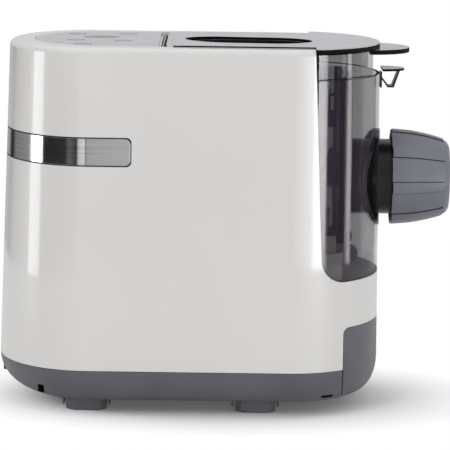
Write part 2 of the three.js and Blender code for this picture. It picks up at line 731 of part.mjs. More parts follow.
function lidWindow() {
  const seatZ = lidUnderZ;
  const flange = pill(lid.openingX, 0, lid.openingHalfLength - gap, lid.openingHalfWidth - gap, 14);
  const inset = lid.openingLedge + gap;
  const tray = pill(lid.openingX, 0, lid.openingHalfLength - inset, lid.openingHalfWidth - inset, 14);
  const inner = inset + lid.trayWall;
  const pocket = pill(lid.openingX, 0, lid.openingHalfLength - inner, lid.openingHalfWidth - inner, 14);
  const bottomZ = seatZ - lid.trayDepth;
  const slot = pill(lid.openingX, 0, lid.slotHalfLength, lid.slotHalfWidth, 6);
  return plateZ(flange, seatZ, seatZ + lid.plate / 2)
    .add(plateZ(tray, bottomZ, seatZ))
    .subtract(plateZ(pocket, bottomZ + lid.trayWall, body.topZ + overrun))
    .subtract(plateZ(slot, bottomZ - overrun, body.topZ));
}

function hingePin(side) {
  const ends = span(side, barrelHalfLength - lid.pinLength / 2, lid.pinLength);
  return rodY(lid.pinRadius, ...ends, pivotX, pivotZ, 12);
}

// Magnet behind the lid's rim, and the sensor on the bulkhead that it faces.
function lidMagnet() {
  const highX = rimRearX - gap;
  const highZ = skirtBottomZ + gap + lid.magnetSize;
  const highY = lid.magnetY + lid.magnetSize * 2;
  return block(highX - lid.plate, highX, lid.magnetY, highY, skirtBottomZ + gap, highZ);
}

function lidSensor() {
  const lowX = frameFrontX + gap;
  const highZ = skirtBottomZ + lid.magnetSize;
  const highY = lid.magnetY + lid.magnetSize * 2;
  return block(lowX, lowX + lid.magnetSize, lid.magnetY, highY, skirtBottomZ - gap, highZ);
}

// End view of the mixing chamber, moved in by an inset.
function chamberOutline(inset) {
  const radius = chamberRadius - inset;
  const rim = rimHalfWidth - inset;
  return [
    [rim, rimZ],
    [-rim, rimZ],
    [-rim, flareEndZ],
    [-radius, flareStartZ],
    ...arc(0, nozzleZ, radius, radius, 1, 2, 24),
    [radius, flareStartZ],
    [rim, flareEndZ],
  ];
}

function chamberCavity(lowX, highX) {
  const open = block(lowX, highX, -rimHalfWidth + chamber.wall, rimHalfWidth - chamber.wall,
    flareEndZ, body.topZ);
  return plateX(chamberOutline(chamber.wall), lowX, highX).add(open);
}

function mixingChamber() {
  let tub = plateX(chamberOutline(0), chamberRearX, chamberFrontX);
  const flangeRearX = chamberFrontX - chamber.flangeThickness;
  tub = tub.add(plateX(chamberOutline(-chamberFlange), flangeRearX, chamberFrontX));
  const skidLowZ = bayFloorTopZ + frame.railHeight + gap;
  bothSides.forEach((side) => {
    const skids = span(side, railInnerY, frame.railWidth);
    tub = tub.add(block(chamberRearX, paddleFrontX, ...skids, skidLowZ, nozzleZ - chamberRadius / 2));
  });
  const hole = sealRadius + gap;
  return tub
    .subtract(chamberCavity(chamberRearX + chamber.wall, chamberFrontX + overrun))
    .subtract(rodX(hole, chamberRearX - overrun, chamberRearX + overrun, 0, nozzleZ));
}

function chamberSeal() {
  const highX = chamberRearX + chamber.wall;
  return rodX(sealRadius, chamberRearX, highX, 0, nozzleZ)
    .subtract(rodX(paddle.hubRadius + gap, chamberRearX - overrun, highX + overrun, 0, nozzleZ));
}

function kneadingPaddle() {
  let solid = rodX(paddle.hubRadius, paddleRearX, paddleFrontX, 0, nozzleZ);
  paddleArmShares.forEach(({ along, degrees }) => {
    const x = paddleRearX + (paddleFrontX - paddleRearX) * along;
    const turn = new THREE.Matrix4().makeRotationX(THREE.MathUtils.degToRad(degrees));
    const arm = new THREE.CapsuleGeometry(paddle.armRadius, paddleReach - 2 * paddle.armRadius, 2, 8);
    arm.translate(0, paddleReach / 2, 0).applyMatrix4(turn).translate(x, 0, nozzleZ);
    solid = solid.add(solidOf(arm));
  });
  const socketEndX = paddleRearX + paddle.socketDepth;
  return solid.subtract(rodX(paddle.hexRadius + gap, paddleRearX - overrun, socketEndX, 0, nozzleZ, 6));
}

// Screw with one flight: an off-round section turned as it goes along the axis.
function extrusionScrew() {
  const startX = paddleFrontX + gap;
  const steps = screw.turns * screw.stepsPerTurn;
  const flightShares = [1, 0.9, 0.2, 0, 0, 0, 0, 0, 0.2, 0.9];
  const rings = Array.from({ length: steps + 1 }, (_, step) => {
    const x = startX + ((screwEndX - startX) * step) / steps;
    return flightShares.map((share, i) => {
      const angle = 2 * Math.PI * (i / flightShares.length + step / screw.stepsPerTurn);
      const radius = screw.coreRadius + (flightRadius - screw.coreRadius) * share;
      return new THREE.Vector3(x, radius * Math.cos(angle), nozzleZ + radius * Math.sin(angle));
    });
  });
  return loft(rings);
}

function extruderHead() {
  let solid = plateX(chamberOutline(-chamberFlange), plateRearX, plateFrontX);
  solid = solid.add(rodX(neckRadius, plateRearX, lugEndX, 0, nozzleZ, 32));
  solid = solid.add(rodX(tipRadius, lugStartX, neckEndX, 0, nozzleZ, 32));
  const lug = (lugRadius * 2) / 5;
  const lugs = rodX(lugRadius, lugStartX, lugEndX, 0, nozzleZ, 32);
  const width = block(lugStartX, lugEndX, -nutBore, nutBore, nozzleZ - lug, nozzleZ + lug);
  solid = solid.add(lugs.intersect(width));
  return solid.subtract(rodX(nozzleBore, plateRearX - overrun, neckEndX + overrun, 0, nozzleZ, 32));
}

function frontSeal() {
  const lowX = chamberFrontX + gap;
  const strip = plateX(chamberOutline(-chamberFlange + gap), lowX, lowX + head.gasket);
  return strip.subtract(chamberCavity(lowX - overrun, lowX + overrun));
}

const collarOutline = (inset) =>
  arc(0, nozzleZ, collarHalfWidth - inset, nozzle.collarHalfHeight - inset, 0, 2, 40).slice(1);

function frontPanel() {
  const wall = planWall(sillZ, panelTopZ, 0, window.panelWall);
  return wall
    .intersect(windowCut(gap))
    .subtract(plateX(collarOutline(0), plateFrontX, nutFrontX));
}

function nozzleCollar() {
  const skin = planWall(sillZ, panelTopZ, -nozzle.collarProud, window.panelWall);
  return skin
    .intersect(plateX(collarOutline(gap), plateFrontX, nutFrontX))
    .subtract(rodX(neckRadius + gap, plateFrontX, nutFrontX, 0, nozzleZ, 32));
}

// Disc with a ring of holes and one in the middle; the shapes of the holes set the pasta.
function pastaDisc(lowX, y, z, holes, holeRadius, sides) {
  let solid = rodX(discRadius, lowX, lowX + disc.thickness, y, z);
  const ringRadius = discRadius * disc.ringShare;
  for (let i = 0; i < holes; i += 1) {
    const angle = (2 * Math.PI * i) / holes;
    const holeY = y + ringRadius * Math.cos(angle);
    const holeZ = z + ringRadius * Math.sin(angle);
    solid = solid.subtract(rodX(holeRadius, lowX - overrun, lowX + overrun, holeY, holeZ, sides));
  }
  return solid;
}

const spareKinds = [
  { holes: 8, holeShare: 0.09, sides: 6 },
  { holes: 6, holeShare: 0.14, sides: 4 },
  { holes: 10, holeShare: 0.07, sides: 6 },
  { holes: 5, holeShare: 0.16, sides: 3 },
];

const shapingDisc = () =>
  pastaDisc(neckEndX + gap, 0, nozzleZ, spareKinds[0].holes, discRadius * spareKinds[0].holeShare, 6);

// The spare lies flat, so the disc is made on the X axis and then laid down.
function spareDisc(place) {
  const { holes, holeShare, sides } = spareKinds[place];
  const flat = pastaDisc(0, 0, 0, holes, discRadius * holeShare, sides).rotate([0, -90, 0]);
  const side = place % 2 === 0 ? -1 : 1;
  const layer = Math.floor(place / 2);
  const lowZ = trayBottomZ + drawer.trayWall + gap + layer * (disc.thickness + gap);
  const centreY = (side * (trayHalfWidth - drawer.trayWall)) / 2;
  return flat.translate([drawer.trayRearX + drawer.discSetback, centreY, lowZ]);
}

// Nut: a tapered knob with raised grip ribs, hollow from behind, open at the mouth.
function lockingNut() {
  const pitch = (2 * Math.PI) / nut.ribCount;
  const rib = THREE.MathUtils.degToRad(nut.ribDegrees);
  const start = THREE.MathUtils.degToRad(nut.startDegrees);
  const edge = rib * nut.ribEdgeShare;
  const free = (pitch - rib) / 3;
  const rings = nutProfileShares.map(([along, out], level) => {
    const x = nutRearX + (nutFrontX - nutRearX) * along;
    const r = nutRadius * out;
    const raised = level > 0 && level < nutProfileShares.length - 2 ? nut.ribHeight : 0;
    const ring = [];
    for (let i = 0; i < nut.ribCount; i += 1) {
      const from = start + pitch * i;
      const marks = [
        [from, 0], [from + edge, raised], [from + rib - edge, raised],
        [from + rib, 0], [from + rib + free, 0], [from + rib + 2 * free, 0],
      ];
      marks.forEach(([angle, lift]) => ring.push(new THREE.Vector3(
        x, (r + lift) * Math.cos(angle), nozzleZ + (r + lift) * Math.sin(angle))));
    }
    return ring;
  });
  return loft(rings)
    .subtract(rodX(nutBore, nutRearX - overrun, lugEndX + nut.clearance, 0, nozzleZ, 32))
    .subtract(rodX(seatRadius, nutRearX, discFrontX + gap, 0, nozzleZ, 32))
    .subtract(rodX(nozzleBore, nutRearX, nutFrontX + overrun, 0, nozzleZ, 32));
}

function panelLatch() {
  const lowZ = latchTopZ - latch.thickness;
  const thick = latch.legThickness;
  const rootX = body.frontX - latch.rootSetback;
  const legX = rootX + thick;
  const bowlRearX = body.frontX + latch.bowlReach;
  const bowlFrontX = bowlRearX + latch.bowlLength;
  const strapTopX = body.frontX + latch.strapReach;
  const legBottomZ = latchTopZ - latch.height;
  const bowlZ = legBottomZ + latch.bowlRise;
  const slantTopZ = lowZ - latch.armDrop;
  const length = body.frontX + latch.reach - legX;
  const tab = plateZ(arc(legX, 0, length, latch.halfWidth, -0.5, 0.5, 12), lowZ, latchTopZ);
  const strap = plateY([
    [rootX, legBottomZ],
    [legX, legBottomZ],
    [legX, slantTopZ - thick],
    [bowlRearX, bowlZ - thick / 2],
    [bowlFrontX, bowlZ - thick / 2],
    [strapTopX + thick, lowZ + thick / 2],
    [strapTopX, lowZ + thick / 2],
    [bowlFrontX - thick, bowlZ + thick / 2],
    [bowlRearX + thick / 2, bowlZ + thick / 2],
    [legX, slantTopZ + thick / 2],
    [legX, lowZ - thick],
    [rootX, lowZ - thick],
  ], -latch.strapHalfWidth, latch.strapHalfWidth);
  return tab.add(strap);
}

function drawerFront() {
  const outer = planSolid([...tuckLevels(0), [seamZ, 0], [drawerTopZ + gap, 0]]);
  const tucked = tuckLevels(drawer.wall).filter(([z]) => z > baseFloorTopZ);
  const rise = [[seamZ, drawer.wall], [drawerTopZ + overrun, drawer.wall]];
  const inner = planSolid([[baseFloorTopZ, drawer.wall], ...tucked, ...rise]);
  return outer.subtract(inner).intersect(drawerCut(gap));
}

function trayForm(inset, lowZ, highZ, rearX, halfWidth) {
  const levels = tuckLevels(inset).filter(([z]) => z > lowZ);
  const form = planSolid([[lowZ, inset], ...levels, [seamZ, inset], [highZ, inset]]);
  return form.intersect(block(rearX, nutFrontX, -halfWidth, halfWidth, 0, body.topZ));
}

function drawerTray() {
  const inset = drawer.wall + gap;
  const wall = drawer.trayWall;
  return trayForm(inset, trayBottomZ, trayTopZ, drawer.trayRearX, trayHalfWidth)
    .subtract(trayForm(inset + wall, trayBottomZ + wall, trayTopZ + overrun,
      drawer.trayRearX + wall, trayHalfWidth - wall));
}

function drawerRunner(side) {
  const innerY = trayHalfWidth - runner.sideInset;
  const rearX = drawer.trayRearX + runner.rearClearance;
  const frontX = drawer.seamX - runner.frontClearance;
  return block(rearX, frontX, ...span(side, innerY, runner.width), baseFloorTopZ + gap, trayBottomZ - gap);
}

// Spur wheel about X with one tooth or one gap pointing up.
function spurOutline(teeth, y, z, toothUp) {
  const pitchRadius = (gear.module * teeth) / 2;
  const tip = pitchRadius + gear.module * gear.addendumShare;
  const root = pitchRadius - gear.module * gear.dedendumShare;
  const step = (2 * Math.PI) / teeth;
  const first = Math.PI / 2 + (toothUp ? 0 : step / 2);
  const points = [];
  for (let i = 0; i < teeth; i += 1) {
    const middle = first + i * step;
    const halfRoot = (step * gear.rootToothShare) / 2;
    const halfTip = (step * gear.tipToothShare) / 2;
    [[root, -halfRoot], [tip, -halfTip], [tip, halfTip], [root, halfRoot]].forEach(([radius, turn]) =>
      points.push([y + radius * Math.cos(middle + turn), z + radius * Math.sin(middle + turn)]));
  }
  return points;
}

function motorPinion() {
  return plateX(spurOutline(gear.pinionTeeth, 0, motorZ, true), gearRearX, gearFrontX)
    .subtract(rodX(motor.shaftRadius + gap, gearRearX - gap, gearFrontX + gap, 0, motorZ, 12));
}

// An even number of teeth puts the same feature up and down, so the lower mesh has a gap facing down.
function idlerGear() {
  const neck = smallRadius - gear.module * gear.dedendumShare;
  return plateX(spurOutline(gear.idlerTeeth, 0, idlerZ, false), gearRearX, gearFrontX)
    .add(rodX(neck, gearFrontX - gap, smallRearX + gap, 0, idlerZ, 16))
    .add(plateX(spurOutline(gear.smallTeeth, 0, idlerZ, true), smallRearX, smallFrontX))
    .subtract(rodX(motor.shaftRadius + gap, gearRearX - gap, smallFrontX + gap, 0, idlerZ, 12));
}

const outputGear = () =>
  plateX(spurOutline(gear.outputTeeth, 0, nozzleZ, false), smallRearX, smallFrontX)
    .subtract(rodX(drive.shaftRadius + gap, smallRearX - gap, smallFrontX + gap, 0, nozzleZ, 16));

function driveShaft() {
  const shoulderX = frameFrontX + drive.shoulderProud;
  return rodX(drive.shaftRadius, smallRearX - drive.overhang, shoulderX, 0, nozzleZ, 16)
    .add(rodX(paddle.hexRadius, shoulderX - gap, paddleRearX + paddle.socketDepth - gap, 0, nozzleZ, 6));
}

function shaftBearing() {
  const frontX = frameFrontX + drive.bearingProud;
  return rodX(bearingRadius, coverRearX, frontX, 0, nozzleZ)
    .subtract(rodX(drive.shaftRadius + gap, coverRearX - gap, frontX + gap, 0, nozzleZ, 16));
}

const idlerAxle = () =>
  rodX(motor.shaftRadius, gearboxRearX + gearbox.wall + gap, coverRearX - gap, 0, idlerZ, 12);

function gearboxOutline(inset) {
  const half = idlerRadius + gearbox.sideMargin - inset;
  const round = gearbox.round - inset / 2;
  const lowZ = motorZ - pinionRadius - 2 * gearbox.margin + inset;
  const highZ = nozzleZ + outputRadius + gearbox.margin - inset;
  return [
    ...arc(half - round, lowZ + round, round, round, 1.5, 2, 4),
    ...arc(half - round, highZ - round, round, round, 0, 0.5, 4),
    ...arc(-half + round, highZ - round, round, round, 0.5, 1, 4),
    ...arc(-half + round, lowZ + round, round, round, 1, 1.5, 4),
  ];
}

const gearboxHousing = () =>
  plateX(gearboxOutline(0), gearboxRearX, coverRearX - gap)
    .subtract(plateX(gearboxOutline(gearbox.wall), gearboxRearX + gearbox.wall, coverRearX + overrun))
    .subtract(rodX(motor.shaftRadius * 2, gearboxRearX - overrun, gearboxRearX + overrun, 0, motorZ, 12));

const gearboxCover = () =>
  plateX(gearboxOutline(0), coverRearX, coverRearX + gearbox.coverThickness)
    .subtract(rodX(shaftHole, coverRearX - overrun, coverRearX + overrun, 0, nozzleZ));

function motorStator() {
  const boreEndX = canFrontX - motor.canWall;
  return rodX(motor.canRadius, canRearX, canFrontX, 0, motorZ, 24)
    .subtract(rodX(motor.canRadius - motor.canWall, canRearX - overrun, boreEndX, 0, motorZ, 24))
    .subtract(rodX(motor.shaftRadius * 2, canRearX, canFrontX + overrun, 0, motorZ, 12));
}

function motorRotor() {
  const frontX = canFrontX - motor.canWall - motor.rotorFrontClearance;
  return rodX(rotorRadius, canRearX + motor.rotorRearClearance, frontX, 0, motorZ, 24)
    .add(rodX(motor.shaftRadius, shaftRearX, gearFrontX + gap, 0, motorZ, 12));
}

function coolingFan() {
  const highX = fanRearX + motor.fanDepth;
  const rootRadius = motor.fanHub / 2;
  const fanRadius = motor.canRadius - motor.fanMargin;
  let solid = rodX(motor.fanHub, fanRearX, highX, 0, motorZ, 16);
  for (let i = 0; i < motor.blades; i += 1) {
    const turn = new THREE.Matrix4().makeRotationX((2 * Math.PI * i) / motor.blades);
    const blade = new THREE.BoxGeometry(motor.fanDepth, fanRadius - rootRadius, motor.bladeThickness);
    blade.translate(0, (fanRadius + rootRadius) / 2, 0).applyMatrix4(turn);
    solid = solid.add(solidOf(blade.translate(fanRearX + motor.fanDepth / 2, 0, motorZ)));
  }
  return solid.subtract(rodX(motor.shaftRadius + gap, fanRearX - gap, highX + gap, 0, motorZ, 12));
}

function motorMount() {
  const half = motor.mountHalfWidth;
  const lowZ = baseFloorTopZ + gap;
  const topZ = motorZ - motor.mountDrop;
  const rearX = canRearX + motor.mountInset;
  const frontX = canFrontX - motor.mountInset;
  const plate = motor.mountPlate;
  return block(rearX, frontX, -half, half, lowZ, topZ)
    .subtract(block(rearX + plate, frontX - plate, -half - gap, half + gap, lowZ + plate, topZ + gap))
    .subtract(rodX(motor.canRadius + gap, rearX - gap, frontX + gap, 0, motorZ, 24));
}

function supportFoot(x, y) {
  const height = body.baseZ - gap;
  const geometry = new THREE.CylinderGeometry(foot.topRadius, foot.bottomRadius, height, foot.sides);
  geometry.rotateY(Math.PI / foot.sides).applyMatrix4(spindleToZ).translate(x, y, height / 2);
  return solidOf(geometry);
}

function baseScrew(x, y) {
  const headZ = body.baseZ + fixing.counterbore - gap;
  const head = rodZ(fixing.headRadius, headZ - fixing.headHeight, headZ, x, y, 10);
  return head.add(rodZ(fixing.shankRadius, headZ - gap, body.baseZ + fixing.length - gap, x, y, 8));
}

function cordGrommet() {
  return rodX(grommet.radius, grommetRearX, grommetFrontX, 0, grommetZ, 16)
    .subtract(rodX(grommet.bore, grommetRearX - gap, grommetFrontX + gap, 0, grommetZ, 12));
}

const finish = (color, roughness, metalness = 0, opacity = 1) =>
  ({ color, roughness, metalness, opacity, transparent: opacity < 1 });
const pearlWhite = finish(0xd6d4d1, 0.25);
const baseGrey = finish(0x6b6b73, 0.42);
const nutGrey = finish(0x73757d, 0.4);
const silverGrey = finish(0xb4b5be, 0.3, 0.4);
const stainless = finish(0xb9b8b6, 0.25, 1);
const black = finish(0x17161a, 0.3);
const darkGrey = finish(0x3a393f, 0.5);
const smoke = finish(0x4a464f, 0.12, 0, 0.5);
const rubber = finish(0x222225, 0.8);
const steel = finish(0x9a9a9e, 0.35, 1);
const nylon = finish(0xd9d3c2, 0.5);
const copper = finish(0x9a5b3a, 0.4, 1);
const green = finish(0x1f5a3a, 0.5);

const model = new THREE.Group();

function addPiece(name, solid, look) {
  const mesh = new THREE.Mesh(geometryOf(solid), new THREE.MeshStandardMaterial(look));
  mesh.name = name;
  model.add(mesh);
}

addPiece('main_housing', mainHousing(), pearlWhite);
addPiece('base_pan', basePan(), baseGrey);
addPiece('inner_frame', innerFrame(), darkGrey);
addPiece('stainless_band', stainlessBand(), stainless);
addPiece('control_panel', controlPanel(), silverGrey);
addPiece('display_lens', displayLens(), black);
addPiece('control_board', controlBoard(), green);
buttonPlaces.forEach((place) => addPiece(place.name, pushButton(place), silverGrey));

addPiece('lid_cover', lidCover(), silverGrey);
addPiece('lid_frame', lidFrame(), smoke);
addPiece('lid_window', lidWindow(), smoke);
addPiece('lid_magnet', lidMagnet(), steel);
addPiece('lid_sensor', lidSensor(), black);
addPiece('hinge_pin_right', hingePin(-1), steel);
addPiece('hinge_pin_left', hingePin(1), steel);

addPiece('mixing_chamber', mixingChamber(), smoke);
addPiece('chamber_seal', chamberSeal(), rubber);
addPiece('kneading_paddle', kneadingPaddle(), nylon);
addPiece('extrusion_screw', extrusionScrew(), nylon);
addPiece('extruder_head', extruderHead(), black);
addPiece('front_seal', frontSeal(), rubber);
addPiece('front_panel', frontPanel(), smoke);
addPiece('nozzle_collar', nozzleCollar(), black);
addPiece('panel_latch', panelLatch(), smoke);
addPiece('shaping_disc', shapingDisc(), nylon);
addPiece('locking_nut', lockingNut(), nutGrey);

addPiece('drawer_front', drawerFront(), baseGrey);
addPiece('drawer_tray', drawerTray(), darkGrey);
addPiece('drawer_runner_right', drawerRunner(-1), nylon);
addPiece('drawer_runner_left', drawerRunner(1), nylon);
spareKinds.forEach((_, place) => addPiece(`spare_disc_${place + 1}`, spareDisc(place), nylon));

addPiece('motor_stator', motorStator(), steel);
addPiece('motor_rotor', motorRotor(), copper);
addPiece('motor_mount', motorMount(), darkGrey);
addPiece('motor_pinion', motorPinion(), steel);
addPiece('cooling_fan', coolingFan(), black);
addPiece('idler_gear', idlerGear(), nylon);
addPiece('idler_axle', idlerAxle(), steel);
addPiece('output_gear', outputGear(), nylon);
addPiece('drive_shaft', driveShaft(), steel);
addPiece('shaft_bearing', shaftBearing(), steel);
addPiece('gearbox_housing', gearboxHousing(), darkGrey);
addPiece('gearbox_cover', gearboxCover(), darkGrey);

bothSides.forEach((side) => {
  const hand = side < 0 ? 'right' : 'left';
  const rearY = side * (body.halfWidth - foot.rearSideMargin);
  const frontY = side * (body.halfWidth - foot.frontSideMargin);
  addPiece(`foot_rear_${hand}`, supportFoot(body.rearX + foot.rearMargin, rearY), baseGrey);
  addPiece(`foot_front_${hand}`, supportFoot(body.frontX - foot.frontMargin, frontY), baseGrey);
  bothEnds.forEach(({ x, name }) => {
    addPiece(`base_screw_${name}_${hand}`, baseScrew(x, side * fixingY), steel);
  });
});
addPiece('cord_grommet', cordGrommet(), rubber);

export default model;
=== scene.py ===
import json
import math

import bmesh
import bpy
from mathutils import Matrix, Vector


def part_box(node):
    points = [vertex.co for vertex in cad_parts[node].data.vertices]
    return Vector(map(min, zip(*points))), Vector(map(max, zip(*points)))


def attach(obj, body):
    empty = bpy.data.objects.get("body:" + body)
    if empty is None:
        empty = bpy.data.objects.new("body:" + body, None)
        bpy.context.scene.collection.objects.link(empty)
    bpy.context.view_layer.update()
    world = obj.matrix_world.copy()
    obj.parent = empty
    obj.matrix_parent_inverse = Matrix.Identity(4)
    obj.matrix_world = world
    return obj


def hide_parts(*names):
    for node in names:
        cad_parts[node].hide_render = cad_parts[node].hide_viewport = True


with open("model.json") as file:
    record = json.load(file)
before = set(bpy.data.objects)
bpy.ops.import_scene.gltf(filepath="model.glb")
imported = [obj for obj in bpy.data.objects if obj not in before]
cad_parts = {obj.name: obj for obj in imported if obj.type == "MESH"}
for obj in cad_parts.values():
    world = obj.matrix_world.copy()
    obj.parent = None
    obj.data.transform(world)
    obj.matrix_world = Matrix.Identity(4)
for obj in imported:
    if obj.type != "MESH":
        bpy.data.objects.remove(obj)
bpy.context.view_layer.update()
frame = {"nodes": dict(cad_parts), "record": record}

mm = 0.001
machine = {  # outer form in mm, leaning in towards the top and tucked in below the seam
    "frontCentre": 50.5, "rearCentre": -105, "endLength": 73, "halfWidth": 100,
    "baseHeight": 11, "seamHeight": 36, "topHeight": 286,
    "rearDraft": 6.5, "frontDraft": 2, "sideDraft": 1,
    "rearTuck": 26, "frontTuck": 14, "sideTuck": 16,
    "corners": 144, "gap": 0.35, "panelHalf": 78, "ledge": 6,
}
axis = 179  # height of the nozzle, the screw and the paddle
past = {"rear": -240, "front": 240, "side": 130, "low": -30, "high": 320}  # outside the machine on each side


# short tools for edit mode
def clearSelection():
    if bpy.context.mode != "OBJECT":
        bpy.ops.object.mode_set(mode="OBJECT")
    bpy.ops.object.select_all(action="DESELECT")


def takeUp(piece):
    clearSelection()
    piece.select_set(True)
    bpy.context.view_layer.objects.active = piece


def openMesh(piece, selection="DESELECT"):
    takeUp(piece)
    bpy.ops.object.mode_set(mode="EDIT")
    bpy.ops.mesh.select_all(action=selection)


def closeMesh():
    bpy.ops.object.mode_set(mode="OBJECT")


def pick(kind, test=lambda *measures: True):  # the test gets a corner, or a middle and a direction, in mm
    bpy.ops.mesh.select_mode(type=kind)
    bpy.ops.mesh.select_all(action="DESELECT")
    mesh = bpy.context.edit_object.data
    live = bmesh.from_edit_mesh(mesh)
    if kind == "VERT":
        for vert in live.verts:
            vert.select = test(vert.co / mm)
    elif kind == "EDGE":
        for edge in live.edges:
            a, b = edge.verts
            edge.select = test((a.co + b.co) / 2 / mm, (b.co - a.co) / mm)
    else:
        for face in live.faces:
            face.select = test(face.calc_center_median() / mm, face.normal)
    live.select_flush_mode()
    bmesh.update_edit_mesh(mesh)


def shift(x, y, z):
    bpy.ops.transform.translate(value=(x * mm, y * mm, z * mm))


def swell(factors, centre=(0, 0, 0)):
    bpy.ops.transform.resize(value=factors, center_override=tuple(c * mm for c in centre))


def pullOut(x, y, z):
    bpy.ops.mesh.extrude_region_move(TRANSFORM_OT_translate={"value": (x * mm, y * mm, z * mm)})


def pullCorners(x, z):
    bpy.ops.mesh.extrude_vertices_move(TRANSFORM_OT_translate={"value": (x * mm, 0, z * mm)})


def closeSolid(*pull):  # pulls a flat form out, if asked to, and turns all faces outwards
    if pull:
        pick("FACE")
        pullOut(*pull)
    bpy.ops.mesh.select_all(action="SELECT")
    bpy.ops.mesh.normals_make_consistent(inside=False)
    closeMesh()


def settle(name):  # names the new primitive and puts its place into its mesh
    piece = bpy.context.object
    piece.name = piece.data.name = name
    takeUp(piece)
    bpy.ops.object.transform_apply(location=True, rotation=True, scale=True)
    return piece


def useModifier(piece, kind, **settings):
    takeUp(piece)
    bpy.ops.object.modifier_add(type=kind)
    modifier = piece.modifiers[-1]
    for name, value in settings.items():
        setattr(modifier, name, value)
    bpy.ops.object.modifier_apply(modifier=modifier.name)


def combine(how, piece, others):
    for other in others:
        useModifier(piece, "BOOLEAN", operation=how, solver="EXACT", object=other)
        bpy.data.objects.remove(other, do_unlink=True)
    return piece


def cut(piece, *others):
    return combine("DIFFERENCE", piece, others)


def join(piece, *others):
    return combine("UNION", piece, others)


def trim(piece, *others):  # leaves what lies inside the other form too
    return combine("INTERSECT", piece, others)


def tidyMesh(piece, flatDegrees=0.4):
    openMesh(piece, "SELECT")
    bpy.ops.mesh.remove_doubles(threshold=0.00002)
    bpy.ops.mesh.dissolve_limited(angle_limit=math.radians(flatDegrees))
    closeMesh()


def roundEdges(piece, width, segments=2, degrees=32):
    useModifier(piece, "BEVEL", width=width * mm, segments=segments, limit_method="ANGLE",
                angle_limit=math.radians(degrees), miter_outer="MITER_ARC", harden_normals=False)


def bevelEdges(width, segments):
    bpy.ops.mesh.bevel(offset=width * mm, segments=segments, affect="EDGES")


def roundCorners(piece, radius, test, segments=10):
    openMesh(piece)
    pick("EDGE", test)
    bevelEdges(radius, segments)
    closeMesh()


def finishPiece(piece, body, slotName, *nodes, look=None, edge=0.0, segments=2, degrees=34):
    if edge:
        roundEdges(piece, edge, segments)
    openMesh(piece, "SELECT")
    bpy.ops.mesh.dissolve_degenerate(threshold=0.000005)
    closeMesh()
    takeUp(piece)
    bpy.ops.object.shade_smooth_by_angle(angle=math.radians(degrees))
    useModifier(piece, "WEIGHTED_NORMAL", mode="FACE_AREA", keep_sharp=True)
    piece.data.materials.clear()
    piece.data.materials.append(looks[look or lookOfSlot[slotName]])
    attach(piece, body)
    if nodes:
        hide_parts(*nodes)


def secondLook(piece, look, test):  # gives the faces that pass the test another finish
    piece.data.materials.append(looks[look])
    openMesh(piece)
    pick("FACE", test)
    piece.active_material_index = len(piece.data.materials) - 1
    bpy.ops.object.material_slot_assign()
    closeMesh()


def twin(source, name):  # a copy with its own mesh
    clearSelection()
    piece = source.copy()
    piece.data = source.data.copy()
    piece.name = name
    bpy.context.scene.collection.objects.link(piece)
    return piece


def refined(nodeName, name, body, edge, look=None):  # eased copy of a CAD node
    piece = twin(frame["nodes"][nodeName], name)
    piece.hide_set(False)
    tidyMesh(piece, 1.0)
    finishPiece(piece, body, slotOfNode[nodeName], nodeName, look=look, edge=edge)


def again(source, name, x, y):  # one more of a piece, moved in its mesh
    piece = twin(source, name)
    for key in [key for key in piece.keys() if key.startswith("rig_")]:
        del piece[key]
    openMesh(piece)
    pick("VERT")
    shift(x, y, 0)
    closeMesh()


# basic forms in the machine's frame, sizes in mm
def planSizes(z, inset):
    rise = max(0, (z - machine["seamHeight"]) / (machine["topHeight"] - machine["seamHeight"]))
    drop = (machine["seamHeight"] - z) / (machine["seamHeight"] - machine["baseHeight"])
    tuck = 1 - math.sqrt(1 - min(1, max(0, drop)) ** 2)
    return [full - machine[way + "Draft"] * rise - machine[way + "Tuck"] * tuck - inset
            for full, way in ((machine["endLength"], "rear"), (machine["endLength"], "front"),
                              (machine["halfWidth"], "side"))]


def circleForm(name, corners, radius, along="Z", place=(0, 0, 0), fill="NGON"):  # leaves its mesh open
    clearSelection()
    turn = (0, 0, math.pi / corners) if along == "Z" else (0, math.pi / 2, 0)
    bpy.ops.mesh.primitive_circle_add(vertices=corners, radius=radius * mm, fill_type=fill,
                                      location=[p * mm for p in place], rotation=turn)
    piece = settle(name)
    openMesh(piece)
    return piece


def planForm(name, levels):  # rounded plan form through levels of (height, inset), low to high
    away = 1000  # keeps the front half clear of the rear one until both are sized
    piece = circleForm(name, machine["corners"], 1 / mm)
    height, inset = levels[0]
    rear, front, half = planSizes(height, inset)
    pick("VERT", lambda v: v.x > 0)
    swell((front * mm, half * mm, 1))
    shift(machine["frontCentre"] + away, 0, height)
    pick("VERT", lambda v: v.x < 0)
    swell((rear * mm, half * mm, 1))
    shift(machine["rearCentre"], 0, height)
    pick("VERT", lambda v: v.x > away / 2)
    shift(-away, 0, 0)
    pick("FACE")
    middle = (machine["frontCentre"] + machine["rearCentre"]) / 2
    for nextHeight, nextInset in levels[1:]:
        pullOut(0, 0, nextHeight - height)
        height = nextHeight
        nextRear, nextFront, nextHalf = planSizes(height, nextInset)
        for side, centre, stretch in ((1, machine["frontCentre"], nextFront / front),
                                      (-1, machine["rearCentre"], nextRear / rear)):
            pick("VERT", lambda v: abs(v.z - height) < 0.02 and (v.x - middle) * side > 0)
            swell((stretch, nextHalf / half, 1), (centre, 0, height))
        rear, front, half = nextRear, nextFront, nextHalf
        pick("FACE", lambda c, n: abs(c.z - height) < 0.02)
    closeSolid()
    return piece


def planWall(name, low, high, outer, inner):
    wall = planForm(name, [(low, outer), (high, outer)])
    return cut(wall, planForm("core", [(low - 1, inner), (high + 1, inner)]))


